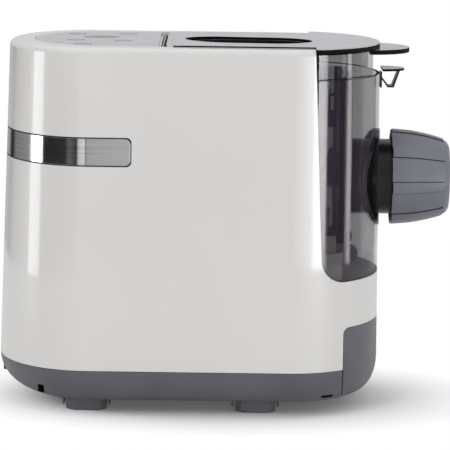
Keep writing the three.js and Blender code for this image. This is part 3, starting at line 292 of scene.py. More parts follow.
def tuckLevels(inset, lowest, steps=9):
    levels = []
    for step in range(steps + 1):
        share = math.cos(math.pi / 2 * step / steps)
        height = machine["seamHeight"] - (machine["seamHeight"] - machine["baseHeight"]) * share
        if height > lowest + 0.05:
            levels.append((height, inset))
    return [(lowest, inset)] + levels


def boxForm(name, low, high):
    clearSelection()
    size = [b - a for a, b in zip(low, high)]
    middle = [(a + b) / 2 for a, b in zip(low, high)]
    bpy.ops.mesh.primitive_cube_add(size=mm, location=[m * mm for m in middle], scale=size)
    return settle(name)


def slab(name, rear, low, front=past["front"], high=past["high"], half=past["side"]):  # same on both sides
    return boxForm(name, (rear, -half, low), (front, half, high))


def bothSides(name, xs, ys, zs):  # a box on the right of the machine, and its mirror image on the left
    pair = []
    for word, side in (("Right", -1), ("Left", 1)):
        near, far = sorted(side * y for y in ys)
        pair.append(boxForm(name + word, (xs[0], near, zs[0]), (xs[1], far, zs[1])))
    return pair


def rodForm(name, radius, low, high, centre=(0, axis), along="X", corners=96, squash=(1, 1)):
    clearSelection()
    turn = {"X": (0, math.pi / 2, 0), "Y": (math.pi / 2, 0, 0), "Z": (0, 0, 0)}[along]
    place = list(centre)
    place.insert("XYZ".index(along), (low + high) / 2)
    bpy.ops.mesh.primitive_cylinder_add(vertices=corners, radius=radius * mm, depth=(high - low) * mm,
                                        location=[p * mm for p in place], rotation=turn)
    rod = settle(name)
    if squash != (1, 1):
        openMesh(rod)
        pick("VERT")
        swell((1, *squash) if along == "X" else (*squash, 1), place)
        closeMesh()
    return rod


def pillForm(name, centre, halfLength, halfWidth, low, high=past["high"], corners=64):
    piece = circleForm(name, corners, halfWidth)
    for side in (1, -1):
        pick("VERT", lambda v: v.x * side > 0)
        shift(side * (halfLength - halfWidth), 0, 0)
    pick("VERT")
    shift(centre[0], centre[1], low)
    closeSolid(0, 0, high - low)
    return piece


# side cut-outs that several pieces share
cutOuts = {
    "windowTop": 68, "windowLean": 7, "windowSill": 105, "windowCorner": 18.5, "windowHead": 283,
    "drawerSeam": 93.5, "drawerTop": 69, "drawerCorner": 5,
    "bandFront": -72.5, "bandLow": 195, "bandHigh": 217, "bandCorner": 4,
    "collarCentre": 139, "collarHalf": (57, 38.5),
}
windowRise = cutOuts["windowHead"] - cutOuts["windowSill"] - cutOuts["windowCorner"]


def windowCutter(offset):
    left, sill, head = cutOuts["windowTop"] + offset, cutOuts["windowSill"] + offset, cutOuts["windowHead"]
    cutter = slab("windowCutter", left, sill, high=head)
    openMesh(cutter)
    pick("VERT", lambda v: v.x < left + 1 and v.z < sill + 1)
    shift(cutOuts["windowLean"] * (head - sill) / windowRise, 0, 0)
    pick("EDGE", lambda m, d: abs(d.y) > 200 and m.x < left + 20 and m.z < sill + 1)
    bevelEdges(cutOuts["windowCorner"] - offset, 16)
    pick("FACE", lambda c, n: n.z > 0.9)
    pullOut(0, 0, 40)
    closeSolid()
    return cutter


def windowDepth(centre):  # how far a point lies inside the window's side edge
    lean = cutOuts["windowLean"] * (cutOuts["windowHead"] - centre.z) / windowRise
    inside = centre.x - (cutOuts["windowTop"] + machine["gap"] + lean)
    above = centre.z - cutOuts["windowSill"] - machine["gap"]
    radius = cutOuts["windowCorner"]
    if inside < radius and above < radius:
        return radius - math.hypot(radius - inside, radius - above)
    return min(inside, above)


def drawerCutter(offset):
    left, top = cutOuts["drawerSeam"] + offset, cutOuts["drawerTop"] - offset
    cutter = slab("drawerCutter", left, past["low"], high=top)
    roundCorners(cutter, cutOuts["drawerCorner"],
                 lambda m, d: abs(d.y) > 200 and m.x < left + 1 and m.z > top - 1)
    return cutter


def bandCutter(offset):
    front = cutOuts["bandFront"] + offset
    cutter = slab("bandCutter", past["rear"], cutOuts["bandLow"] - offset, front,
                  cutOuts["bandHigh"] + offset)
    roundCorners(cutter, cutOuts["bandCorner"], lambda m, d: abs(d.y) > 200 and m.x > front - 1)
    return cutter


def bandWall(name, outer, inner):  # the housing's wall at the band's height
    return planWall(name, cutOuts["bandLow"] - 20, cutOuts["bandHigh"] + 20, outer, inner)


def collarCutter(offset):
    centre, (wide, tall) = cutOuts["collarCentre"], cutOuts["collarHalf"]
    return rodForm("collarCutter", 1, centre - 41, centre + 41, corners=128,
                   squash=(wide - offset, tall - offset))


# materials: all patterns on Object coordinates
def newLook(name, **sockets):
    look = bpy.data.materials.new(name)
    look.use_nodes = True
    shader = look.node_tree.nodes["Principled BSDF"]
    names = {"colour": "Base Color", "metal": "Metallic", "rough": "Roughness", "ior": "IOR",
             "alpha": "Alpha", "coat": "Coat Weight", "coatRough": "Coat Roughness",
             "gloss": "Specular IOR Level"}
    for key, value in sockets.items():
        shader.inputs[names[key]].default_value = value
    return look


def addNode(look, kind, *sources, **values):  # sources are joined to the first inputs, values set by name
    node = look.node_tree.nodes.new("ShaderNode" + kind)
    for name, value in values.items():
        node.inputs[name.replace("_", " ")].default_value = value
    for source, socket in zip(sources, node.inputs):
        look.node_tree.links.new(source, socket)
    return node


def objectSpace(look, scale=(1, 1, 1)):
    place = addNode(look, "TexCoord")
    return addNode(look, "Mapping", place.outputs["Object"], Scale=scale).outputs["Vector"]


def noise(look, vector, scale, detail=3.0, rough=0.55):
    return addNode(look, "TexNoise", vector, Scale=scale, Detail=detail, Roughness=rough).outputs["Fac"]


def spread(look, value, low, high, fromLow=0.3, fromHigh=0.7):
    return addNode(look, "MapRange", value, From_Min=fromLow, From_Max=fromHigh, To_Min=low,
                   To_Max=high).outputs["Result"]


def drive(look, socket, value):
    look.node_tree.links.new(value, look.node_tree.nodes["Principled BSDF"].inputs[socket])


def paint(look, value, first, second):
    node = addNode(look, "Mix", value)
    node.data_type = "RGBA"
    node.inputs[6].default_value, node.inputs[7].default_value = (*first, 1), (*second, 1)
    drive(look, "Base Color", node.outputs[2])


def relief(look, height, strength, depth):
    bump = addNode(look, "Bump", Strength=strength, Distance=depth * mm)
    look.node_tree.links.new(height, bump.inputs["Height"])
    drive(look, "Normal", bump.outputs["Normal"])


def mouldedLook(name, first, second, sockets, toneScale, gloss, glossScale, grain):
    look = newLook(name, **sockets)
    space = objectSpace(look)
    paint(look, spread(look, noise(look, space, toneScale), 0, 1), first, second)
    drive(look, "Roughness", spread(look, noise(look, space, glossScale, 4), *gloss))
    grainScale, detail, strength, depth = grain
    relief(look, noise(look, space, grainScale, detail), strength, depth)
    return look


def brushedLook(name, first, second, metal, lines, lineScale, gloss, strength):
    look = newLook(name, metal=metal)
    fine = noise(look, objectSpace(look, lines), lineScale, 5, 0.6)
    paint(look, spread(look, fine, 0, 1, 0.35, 0.65), first, second)
    drive(look, "Roughness", spread(look, fine, *gloss))
    relief(look, fine, strength, 0.02)
    return look


plastics = {  # two tones, shader values, tone scale, roughness, its scale, grain (scale, detail, strength, depth)
    "pearlWhite": ((0.718, 0.706, 0.694), (0.75, 0.738, 0.726),
                   {"coat": 0.7, "coatRough": 0.04, "gloss": 0.4, "ior": 1.5},
                   7, (0.3, 0.36), 30, (700, 2, 0.06, 0.03)),
    "baseGrey": ((0.098, 0.099, 0.117), (0.118, 0.119, 0.139), {"gloss": 0.45},
                 30, (0.34, 0.44), 120, (2600, 3, 0.25, 0.05)),
    # painted light: a lighter copy of baseGrey for the feet
    "footPaintedLitGrey": ((0.155, 0.157, 0.178), (0.18, 0.183, 0.206), {"gloss": 0.4},
                 40, (0.36, 0.46), 150, (2600, 3, 0.25, 0.05)),
    "nutGrey": ((0.166, 0.17, 0.202), (0.192, 0.198, 0.232), {"gloss": 0.35},
                30, (0.36, 0.46), 150, (3000, 3, 0.22, 0.04)),
    "silverGrey": ((0.475, 0.48, 0.52), (0.515, 0.52, 0.56), {"metal": 0.25, "coat": 0.35, "coatRough": 0.1},
                   60, (0.26, 0.34), 40, (1800, 2, 0.02, 0.01)),
    "blackGloss": ((0.006, 0.0055, 0.007), (0.009, 0.0085, 0.0105), {"gloss": 0.45},
                   60, (0.1, 0.17), 60, (700, 2, 0.05, 0.03)),
    "darkPlastic": ((0.028, 0.027, 0.031), (0.04, 0.039, 0.044), {"gloss": 0.35},
                    35, (0.45, 0.6), 110, (2200, 3, 0.35, 0.06)),
    "smokeClear": ((0.047, 0.035, 0.052), (0.058, 0.044, 0.065), {"alpha": 0.39, "gloss": 0.8},
                   12, (0.03, 0.06), 30, (150, 1, 0.03, 0.03)),
    "smokeTub": ((0.2, 0.182, 0.212), (0.245, 0.225, 0.26), {"alpha": 0.27, "gloss": 0.25},
                 14, (0.08, 0.14), 40, (300, 2, 0.05, 0.03)),
    "smokeDeep": ((0.012, 0.011, 0.014), (0.018, 0.016, 0.02), {"alpha": 0.86, "gloss": 0.5},
                  14, (0.1, 0.16), 40, (300, 2, 0.05, 0.03)),
    # painted shade: black for the shadow lines in gaps, seams and under the lid
    "paintedShadeBlack": ((0.004, 0.004, 0.0045), (0.007, 0.0065, 0.0075), {"gloss": 0.04},
                  90, (0.5, 0.62), 200, (2500, 2, 0.2, 0.03)),
    # painted light: a lighter grey for the lit top faces of dark smoke parts
    "smokePaintedLitTop": ((0.3, 0.3, 0.33), (0.36, 0.36, 0.39), {"gloss": 0.6},
                 30, (0.1, 0.16), 50, (400, 2, 0.04, 0.03)),
    # painted light: a lighter grey for the latch strap's lower arm
    "strapPaintedLitGrey": ((0.13, 0.13, 0.145), (0.17, 0.17, 0.19), {"gloss": 0.3},
                  60, (0.25, 0.35), 70, (600, 2, 0.05, 0.03)),
    "smokeBlack": ((0.012, 0.0115, 0.014), (0.018, 0.017, 0.021), {"gloss": 0.3},
                   50, (0.22, 0.3), 60, (700, 2, 0.05, 0.03)),
    # dark for the sunk marks on the panel and keys, and painted shade on the nut
    "marksAndPaintedShade": ((0.022, 0.023, 0.029), (0.032, 0.034, 0.041), {"gloss": 0.2},
                 60, (0.45, 0.55), 150, (3000, 3, 0.2, 0.04)),
    "frameGrey": ((0.29, 0.275, 0.305), (0.36, 0.342, 0.378), {"gloss": 0.15},
                  25, (0.38, 0.5), 90, (1800, 3, 0.25, 0.05)),
    "paddleGrey": ((0.055, 0.053, 0.062), (0.08, 0.077, 0.09), {"gloss": 0.2},
                   25, (0.3, 0.42), 90, (1500, 3, 0.2, 0.05)),
    "rubber": ((0.018, 0.018, 0.019), (0.028, 0.028, 0.029), {"gloss": 0.3},
               80, (0.68, 0.82), 200, (3200, 4, 0.4, 0.05)),
    "nylon": ((0.62, 0.6, 0.54), (0.7, 0.68, 0.62), {"gloss": 0.4},
              25, (0.38, 0.5), 90, (1500, 3, 0.2, 0.05)),
    "boardGreen": ((0.012, 0.09, 0.045), (0.02, 0.14, 0.07), {"coat": 0.3, "coatRough": 0.2},
                   180, (0.3, 0.45), 160, (900, 2, 0.25, 0.08)),
}
metals = {  # two tones, metallic share, stretch of the brushed lines, their scale, roughness, strength
    "brushedSteel": ((0.53, 0.525, 0.53), (0.7, 0.695, 0.7), 1, (0.01, 0.01, 1), 1300, (0.05, 0.11), 0.03),
    "plainSteel": ((0.45, 0.45, 0.455), (0.58, 0.58, 0.585), 1, (1, 0.12, 0.12), 1600, (0.25, 0.4), 0.15),
    "rotorIron": ((0.2, 0.11, 0.06), (0.42, 0.25, 0.15), 0.7, (1, 0.05, 0.05), 1300, (0.35, 0.55), 0.5),
    "bearingBrass": ((0.52, 0.36, 0.14), (0.66, 0.5, 0.24), 1, (0.1, 1, 1), 1500, (0.25, 0.4), 0.2),
}
looks = {name: mouldedLook(name, *values) for name, values in plastics.items()}
looks.update({name: brushedLook(name, *values) for name, values in metals.items()})
lookOfSlot = {
    "pearl_white": "pearlWhite", "base_grey": "baseGrey", "nut_grey": "nutGrey", "silver_grey": "silverGrey",
    "stainless": "brushedSteel", "black_gloss": "blackGloss", "dark_plastic": "darkPlastic",
    "smoke": "smokeClear", "rubber": "rubber", "steel": "plainSteel", "rotor_iron": "rotorIron",
    "bearing_brass": "bearingBrass", "nylon": "nylon", "board_green": "boardGreen",
}
slotOfNode = {part["node"]: part["material_slot"] for part in frame["record"]["subparts"]}
for nodeName, node in frame["nodes"].items():
    node.data.materials.clear()
    node.data.materials.append(looks[lookOfSlot[slotOfNode[nodeName]]])
print("materials ready")

# housing
housing = {"wall": 2.8, "deckUnder": 281, "topRound": 5, "roundSteps": 8, "lidSeam": -51.35,
           "panelCentre": -98, "panelLength": 54, "panelCorners": 128, "pocket": 2.3, "pocketFront": -40,
           "lidBed": 282.65, "holeLow": 270, "hingeRoom": -41.45, "grooveDepth": 1.2, "edge": 0.4}


def panelForm(name, inset, front, low, high=past["high"]):  # half ellipse to the rear, square to the lid
    centre = housing["panelCentre"]
    piece = circleForm(name, housing["panelCorners"], 1 / mm)
    pick("VERT")
    swell(((housing["panelLength"] - inset) * mm, (machine["panelHalf"] - inset) * mm, 1))
    shift(centre, 0, low)
    pick("VERT", lambda v: v.x > centre)
    bpy.ops.mesh.delete(type="VERT")
    pick("VERT", lambda v: v.x > centre - 2)
    pullCorners(front - centre, 0)
    pick("VERT")
    bpy.ops.mesh.edge_face_add()
    closeSolid(0, 0, high - low)
    return piece


def makeHousing():
    seam, top, rounded = machine["seamHeight"], machine["topHeight"], housing["topRound"]
    half, ledge, lidSeam = machine["panelHalf"], machine["ledge"], housing["lidSeam"]
    levels = [(seam, 0), (top - rounded, 0)]
    for step in range(1, housing["roundSteps"] + 1):
        turn = math.pi / 2 * step / housing["roundSteps"]
        levels.append((top - rounded * (1 - math.sin(turn)), rounded * (1 - math.cos(turn))))
    shell = planForm("housingShell", levels)
    cut(shell, planForm("hollow", [(seam - 1, housing["wall"]), (housing["deckUnder"], housing["wall"])]),
        slab("lidBed", lidSeam, housing["lidBed"], half=half),
        slab("lidHole", lidSeam, housing["holeLow"], half=half - ledge),
        slab("hingeRoom", lidSeam, housing["holeLow"], housing["hingeRoom"], half=half),
        panelForm("panelBed", 0, housing["pocketFront"], top - housing["pocket"]),
        panelForm("panelHole", ledge, lidSeam - ledge, 260))
    groove = bandWall("groove", -housing["grooveDepth"], housing["grooveDepth"])
    cut(shell, trim(groove, bandCutter(machine["gap"])), windowCutter(0), drawerCutter(0))
    tidyMesh(shell)
    finishPiece(shell, "base", "pearl_white", "main_housing", edge=housing["edge"])


makeHousing()
print("housing ready")

# stainless band in a thin black surround, which is painted shade for the gap round the band
band = {"depth": 0.85, "surround": 0.65, "surroundDepth": 0.75, "sunk": 0.12, "edge": 0.2,
        "surroundEdge": 0.1}


def makeBand():
    strip = trim(bandWall("stainlessBandSkin", 0, band["depth"]), bandCutter(-band["surround"]))
    tidyMesh(strip)
    finishPiece(strip, "base", "stainless", "stainless_band", edge=band["edge"])
    # painted shade: the surround is black for the shadow in the gap round the band
    surround = trim(bandWall("bandSurround", 0, band["surroundDepth"]), bandCutter(0))
    trim(surround, planForm("inside", [(cutOuts["bandLow"] - 30, band["sunk"]),
                                       (cutOuts["bandHigh"] + 30, band["sunk"])]))
    cut(surround, bandCutter(-band["surround"]))
    tidyMesh(surround)
    finishPiece(surround, "base", "black_gloss", look="paintedShadeBlack", edge=band["surroundEdge"])


makeBand()
print("band ready")

# base pan
pan = {"topHeight": 35.65, "wall": 2.8, "floor": 14, "front": 93.15, "edge": 0.4,
       "ventX": (-67, -74, -81, -88), "ventHalf": 22, "ventWidth": 3.5,
       "screwX": (-75, 45), "screwY": 76, "screwWell": 4, "cordHeight": 24, "cordRadius": 5.95,
       "slots": ((-144, -139, 13.5, 21.5), (77, 86, 14, 16.4))}


def makePan():
    outer = planForm("basePanShell", tuckLevels(0, machine["baseHeight"])[:-1] + [(pan["topHeight"], 0)])
    inner = tuckLevels(pan["wall"], pan["floor"]) + [(machine["seamHeight"] + 2, pan["wall"])]
    cut(outer, planForm("panHollow", inner), slab("drawerRoom", pan["front"], past["low"], high=60))
    slit = pan["ventWidth"] / 2
    for x in pan["ventX"]:
        cut(outer, slab("slit", x - slit, 0, x + slit, 15, half=pan["ventHalf"]))
    for x in pan["screwX"]:
        for side in (-1, 1):
            cut(outer, rodForm("well", pan["screwWell"], 0, 16, (x, side * pan["screwY"]), "Z", corners=32))
    for rear, fore, low, high in pan["slots"]:
        cut(outer, *bothSides("slot", (rear, fore), (60, past["side"]), (low, high)))
    cut(outer, rodForm("cordWay", pan["cordRadius"], -220, -160, (0, pan["cordHeight"]), corners=48))
    tidyMesh(outer)
    finishPiece(outer, "base", "base_grey", "base_pan", edge=pan["edge"])


makePan()
print("base pan ready")

# lid cover
lid = {"rear": -46.4, "under": 283, "strip": 286, "top": 287, "edgeRound": 0.8, "barrelRadius": 4.6,
       "barrelHeight": 281.4, "barrelHalf": 63.8, "crownRear": -41.45, "frontRear": 68.35, "earEnd": 72,
       "earTop": 285.15, "grooveRear": -48.9, "grooveFront": -47.1, "grooveLow": 284.2,
       "opening": (17.5, 0), "openingHalf": (50.5, 32.5), "dishX": 35.5, "dishDepth": 1.1,
       "dishRadius": 117, "dishForm": 4.8, "dishCorners": 96, "edge": 0.25}


def lidRoom(half):  # narrow between the shoulders, full width over the window
    return join(slab("lidRoom", -60, 200, half=half), slab("wide", lid["frontRear"], 200))


def lidOpening(inset, low, high=past["high"]):
    length, width = lid["openingHalf"]
    return pillForm("opening", lid["opening"], length - inset, width - inset, low, high, corners=96)


def makeLidCover():
    top, rounded = lid["top"], lid["edgeRound"]
    cover = planForm("lidCoverPlate", [(lid["under"], 0), (top - rounded, 0),
                                       (top - rounded * 0.3, rounded * 0.3), (top, rounded)])
    trim(cover, slab("front", lid["rear"], 200), lidRoom(machine["panelHalf"] - machine["gap"]))
    cut(cover, slab("rearStrip", -60, lid["strip"], lid["crownRear"]))
    clearSelection()
    count = lid["dishCorners"]
    bpy.ops.mesh.primitive_uv_sphere_add(segments=count, ring_count=count, radius=mm)
    dish = settle("dish")
    openMesh(dish)
    pick("VERT")
    swell((lid["dishRadius"], lid["dishRadius"], lid["dishForm"]))
    shift(lid["dishX"], 0, top - lid["dishDepth"] + lid["dishForm"])
    closeMesh()
    cut(cover, dish)
    join(cover, rodForm("barrel", lid["barrelRadius"], -lid["barrelHalf"], lid["barrelHalf"],
                        (lid["rear"], lid["barrelHeight"]), along="Y", corners=64))
    cut(cover, slab("groove", lid["grooveRear"], lid["grooveLow"], lid["grooveFront"]),
        *bothSides("earRoom", (-60, lid["crownRear"]), (lid["barrelHalf"], lid["earEnd"]),
                   (260, lid["earTop"])), lidOpening(0, 270))
    tidyMesh(cover)
    finishPiece(cover, "lid", "silver_grey", "lid_cover", edge=lid["edge"])
    # painted shade: the side and under faces and the hinge groove's floor in black, for the shadow line under the
    # lid's edge
    secondLook(cover, "paintedShadeBlack", lambda c, n: n.z < 0.35 and c.x > -60 or
               lid["grooveRear"] - 0.2 < c.x < lid["rear"] and c.z < lid["strip"] - 0.5)


makeLidCover()
print("lid cover ready")

# lid frame with its skirt
lidFrame = {"low": 262.9, "top": 282.65, "deck": 281.35, "rear": -41.45, "side": 71.65, "skirtInset": 0.5,
            "skirtInner": 5.25, "rimInset": 4, "rimWall": 2.5, "rimRear": -38, "plateInset": 0.8, "ledge": 4,
            "windowInset": 0.8, "edge": 0.3}
tongue = {"root": 112, "length": 33, "half": 42, "thickness": 3.6, "dimple": 0.9, "dimpleDepth": 0.4,
          "dimples": ((126, -17), (131, -17), (136, -1)), "edge": 0.7}


def makeLidFrame():
    low, top, thick, side = lidFrame["low"], lidFrame["top"], lidFrame["rimWall"], lidFrame["side"]
    rimRear, inset = lidFrame["rimRear"], lidFrame["plateInset"]
    plate = planForm("lidFrameShell", [(lidFrame["deck"], inset), (top, inset)])
    trim(plate, slab("fore", lidFrame["rear"], 200), lidRoom(side))
    rim = planWall("rim", low, top - 0.5, lidFrame["rimInset"], lidFrame["rimInset"] + thick)
    trim(rim, windowCutter(lidFrame["windowInset"]))
    skirt = planWall("skirt", low, top - 0.2, lidFrame["skirtInset"], lidFrame["skirtInner"])
    trim(skirt, windowCutter(lidFrame["windowInset"]))
    rails = slab("rails", rimRear, low, lid["frontRear"] + thick, top - 0.6, half=side)
    cut(rails, slab("between", rimRear + thick, low - 1, half=side - thick))  # leaves one U-shaped wall
    join(plate, rim, rails, skirt)
    cut(plate, lidOpening(lidFrame["ledge"], 260),
        rodForm("tongueRoom", 1, 240, past["high"], (tongue["root"], 0), along="Z",
                squash=(tongue["length"] - 0.01, tongue["half"] - 0.01)))
    tidyMesh(plate)
    finishPiece(plate, "lid", "smoke", "lid_frame", edge=lidFrame["edge"])
    # painted shade: the plate, the skirt's lower edge, the rear faces and a band along the window edge in black,
    # for the shadow lines round the lid
    secondLook(plate, "paintedShadeBlack", lambda c, n: c.z < low + 0.9 or c.z > top - 1.6 or
               abs(n.y) < 0.3 and n.x < -0.9 or c.x > 68 and windowDepth(c) < 1.4)


def makeTongue():
    top = lidFrame["top"]
    piece = rodForm("lidTongue", 1, top - tongue["thickness"], top, (tongue["root"], 0), along="Z",
                    corners=128, squash=(tongue["length"], tongue["half"]))
    trim(piece, slab("front", tongue["root"], 200, front=200, half=60))
    for place in tongue["dimples"]:
        cut(piece, rodForm("dimple", tongue["dimple"], top - tongue["dimpleDepth"], 290, place, "Z",
                           corners=24))
    tidyMesh(piece)
    finishPiece(piece, "lid", "smoke", look="smokeBlack", edge=tongue["edge"], segments=3)
    # painted shade on the sides and underside in black, and painted light on the top face in lighter grey
    secondLook(piece, "paintedShadeBlack", lambda c, n: n.z < 0.85)
    secondLook(piece, "smokePaintedLitTop", lambda c, n: n.z > 0.9 and c.z > top - 0.2)


makeLidFrame()
makeTongue()
print("lid frame ready")

# smoke front panel and its collar
front = {"top": 262.3, "wall": 2.6, "edge": 0.4, "collarProud": 0.8, "collarEdge": 0.6, "neckHole": 30.15}


def makeFrontPanel():
    panel = planWall("frontPanelShell", cutOuts["windowSill"], front["top"], 0, front["wall"])
    trim(panel, windowCutter(machine["gap"]))
    cut(panel, collarCutter(0))
    tidyMesh(panel)
    finishPiece(panel, "front", "smoke", "front_panel", edge=front["edge"])
    # painted shade: bands along the window edge and the top edge in black, for the shadow in the seams
    secondLook(panel, "paintedShadeBlack", lambda c, n: windowDepth(c) < 0.9 or c.z > front["top"] - 0.9)


def makeCollar():
    collar = planWall("nozzleCollarRing", cutOuts["windowSill"], front["top"], -front["collarProud"],
                      front["wall"])
    trim(collar, collarCutter(machine["gap"]))
    cut(collar, rodForm("neckWay", front["neckHole"], 90, 180))
    tidyMesh(collar)
    finishPiece(collar, "front", "black_gloss", "nozzle_collar", edge=front["collarEdge"], segments=3)


makeFrontPanel()
makeCollar()
print("front panel ready")

# drawer front
drawer = {"wall": 3, "floor": 14, "top": 69.35, "edge": 0.45}


def makeDrawerFront():
    outer = tuckLevels(0, machine["baseHeight"]) + [(drawer["top"], 0)]
    inner = tuckLevels(drawer["wall"], drawer["floor"]) + [(drawer["top"] + 2, drawer["wall"])]
    shell = cut(planForm("drawerFrontShell", outer), planForm("drawerHollow", inner))
    trim(shell, drawerCutter(machine["gap"]))
    tidyMesh(shell)
    finishPiece(shell, "drawer", "base_grey", "drawer_front", edge=drawer["edge"])


makeDrawerFront()
print("drawer front ready")

# locking nut
nut = {"rear": 132, "front": 178, "radius": 37.5, "ribs": 8, "ribDegrees": 15, "startDegrees": 180.5,
       "ribInset": 0.5, "ribRise": 0.84, "perRib": 6, "perLand": 12, "steepDegrees": 18, "edge": 0.3,
       "bores": ((33, 157.8), (28.3, 170.5), (24, 200)),
       "profile": ((0, 1), (0.08, 0.997), (0.2, 0.985), (0.326, 0.971), (0.45, 0.945), (0.57, 0.915),
                   (0.674, 0.885), (0.8, 0.842), (0.904, 0.8), (0.965, 0.744), (1, 0.672))}


def makeNut():
    pitch, start, ribWide = 360 / nut["ribs"], nut["startDegrees"], nut["ribDegrees"]
    perPitch = nut["perRib"] + nut["perLand"]
    piece = circleForm("lockingNutShell", nut["ribs"] * perPitch, nut["radius"], along="X")
    live = bmesh.from_edit_mesh(piece.data)  # spaces the corners so that ribs and lands get their own widths
    for index, vert in enumerate(sorted(live.verts, key=lambda v: math.atan2(v.co.z, v.co.y))):
        rib, step = divmod(index, perPitch)
        turn = ribWide * step / nut["perRib"]
        if step > nut["perRib"]:
            turn = ribWide + (pitch - ribWide) * (step - nut["perRib"]) / nut["perLand"]
        angle = math.radians(start - 360 + rib * pitch + turn)
        vert.co = Vector((nut["rear"], nut["radius"] * math.cos(angle),
                          axis + nut["radius"] * math.sin(angle))) * mm
    bmesh.update_edit_mesh(piece.data)
    pick("FACE")
    x, out = nut["rear"], 1
    for along, nextOut in nut["profile"][1:]:
        nextX = nut["rear"] + (nut["front"] - nut["rear"]) * along
        pullOut(nextX - x, 0, 0)
        swell((1, nextOut / out, nextOut / out), (nextX, 0, axis))
        x, out = nextX, nextOut
    closeSolid()

    def onRib(centre, normal):
        if abs(normal.x) > 0.6 or not nut["rear"] + 1 < centre.x < nut["front"] - 4:
            return False
        return (math.degrees(math.atan2(centre.z - axis, centre.y)) - start) % pitch < ribWide

    openMesh(piece)
    pick("FACE", onRib)
    bpy.ops.mesh.extrude_region_shrink_fatten(TRANSFORM_OT_shrink_fatten={"value": -0.01 * mm})
    bpy.ops.mesh.inset(thickness=nut["ribInset"] * mm, depth=nut["ribRise"] * mm, use_even_offset=True)
    closeMesh()
    for radius, end in nut["bores"]:
        cut(piece, rodForm("bore", radius, 120, end, corners=128))
    finishPiece(piece, "nut", "nut_grey", "locking_nut", edge=nut["edge"], degrees=30)

    def shaded(centre, normal):  # painted shade on the rear face, the bore and the ribs' steep sides
        out = Vector((0, centre.y, centre.z - axis))
        flat = Vector((0, normal.y, normal.z))
        if normal.x < -0.4 or out.dot(flat) < -0.1:
            return True
        steep = flat.length > 0.1 and out.length > 26 and out.angle(flat) > math.radians(nut["steepDegrees"])
        return steep and abs(normal.x) < 0.5

    secondLook(piece, "marksAndPaintedShade", shaded)


makeNut()
print("nut ready")

# extruder head: plate behind the panel, neck and bayonet lugs
head = {"plateRear": 93.8, "plateFront": 98, "plateRim": 4, "neck": 29.8, "lug": 32.2, "lugStart": 150,
        "lugEnd": 157, "lugHalf": 12.88, "tip": 27.5, "tipEnd": 165, "bore": 24, "edge": 0.4}
tub = {"radius": 62, "rim": 64, "flareStart": 200, "flareEnd": 232, "rimHeight": 261, "corners": 96}


def tubForm(name, inset, low, high, top=tub["rimHeight"]):  # U shaped end view pushed along X
    radius, rim = tub["radius"] - inset, tub["rim"] - inset
    piece = circleForm(name, tub["corners"], radius, "X", (low, 0, axis), fill="NOTHING")
    pick("VERT", lambda v: v.z > axis + 0.5)
    bpy.ops.mesh.delete(type="VERT")
    height, half = axis, radius
    for nextHeight, nextHalf in ((tub["flareStart"], radius), (tub["flareEnd"], rim), (top, rim)):
        pick("VERT", lambda v: abs(v.z - height) < 0.6 and abs(v.y) > half - 1)
        pullCorners(0, nextHeight - height)
        swell((1, nextHalf / half, 1), (low, 0, nextHeight))
        height, half = nextHeight, nextHalf
    pick("VERT")
    bpy.ops.mesh.edge_face_add()
    closeSolid(high - low, 0, 0)
    return piece


def makeHead():
    start, end, lugHalf = head["lugStart"], head["lugEnd"], head["lugHalf"]
    plate = tubForm("extruderHeadPlate", -head["plateRim"], head["plateRear"], head["plateFront"])
    join(plate, rodForm("neck", head["neck"], head["plateRear"], end, corners=128),
         rodForm("tip", head["tip"], start, head["tipEnd"], corners=128))
    ring = rodForm("lugRing", head["lug"], start, end, corners=128)
    trim(ring, boxForm("lugCut", (140, -50, axis - lugHalf), (160, 50, axis + lugHalf)))
    join(plate, ring)
    cut(plate, rodForm("bore", head["bore"], 80, 180, corners=128))
    tidyMesh(plate)
    finishPiece(plate, "front", "black_gloss", "extruder_head", look="smokeBlack", edge=head["edge"])
    # painted highlight: the plate's outer edge in pearl white, for the light caught on that edge
    secondLook(plate, "pearlWhite", lambda c, n: c.x < head["plateFront"] - 0.1 and abs(n.x) < 0.3 and
               math.hypot(c.y, c.z - axis) > 45)


makeHead()
print("extruder head ready")

# latch on the panel's top edge
latch = {"root": 123.5, "top": 266, "armStart": 127.5, "thickness": 1.8, "tabLength": 17.8, "tabHalf": 18,
         "strapHalf": 8, "edge": 0.3,
         "strap": ((122.1, 250.5), (123.5, 250.5), (123.5, 256.8), (127.9, 250.7), (132.9, 250.7),
                   (137.9, 265.1), (136.5, 265.1), (131.5, 252.1), (128.6, 252.1), (123.5, 258.9),
                   (123.5, 262.8), (122.1, 262.8))}


def makeLatch():
    top, low, half = latch["top"], latch["top"] - latch["thickness"], latch["strapHalf"]
    tab = rodForm("latchTab", 1, low, top, (latch["root"], 0), along="Z",
                  squash=(latch["tabLength"], latch["tabHalf"]))
    trim(tab, slab("front", latch["root"], 200, front=200, half=60))
    strap = circleForm("strap", 3, 1)
    bpy.ops.mesh.select_all(action="SELECT")
    bpy.ops.mesh.delete(type="VERT")
    live = bmesh.from_edit_mesh(strap.data)
    live.faces.new([live.verts.new((x * mm, -half * mm, z * mm)) for x, z in latch["strap"]])
    bmesh.update_edit_mesh(strap.data)
    closeSolid(0, half * 2, 0)
    join(tab, strap)
    tidyMesh(tab)
    finishPiece(tab, "latch", "smoke", "panel_latch", look="smokeBlack", edge=latch["edge"])
    # painted shade on the tab's sides in black; painted light on its top face and on the strap's lower arm in
    # lighter grey
    secondLook(tab, "paintedShadeBlack", lambda c, n: n.z < 0.85 and c.z > low - 0.3)
    secondLook(tab, "smokePaintedLitTop", lambda c, n: n.z > 0.9 and c.z > top - 0.2)
    secondLook(tab, "strapPaintedLitGrey", lambda c, n: c.x > latch["armStart"] and c.z < low)


makeLatch()
print("latch ready")

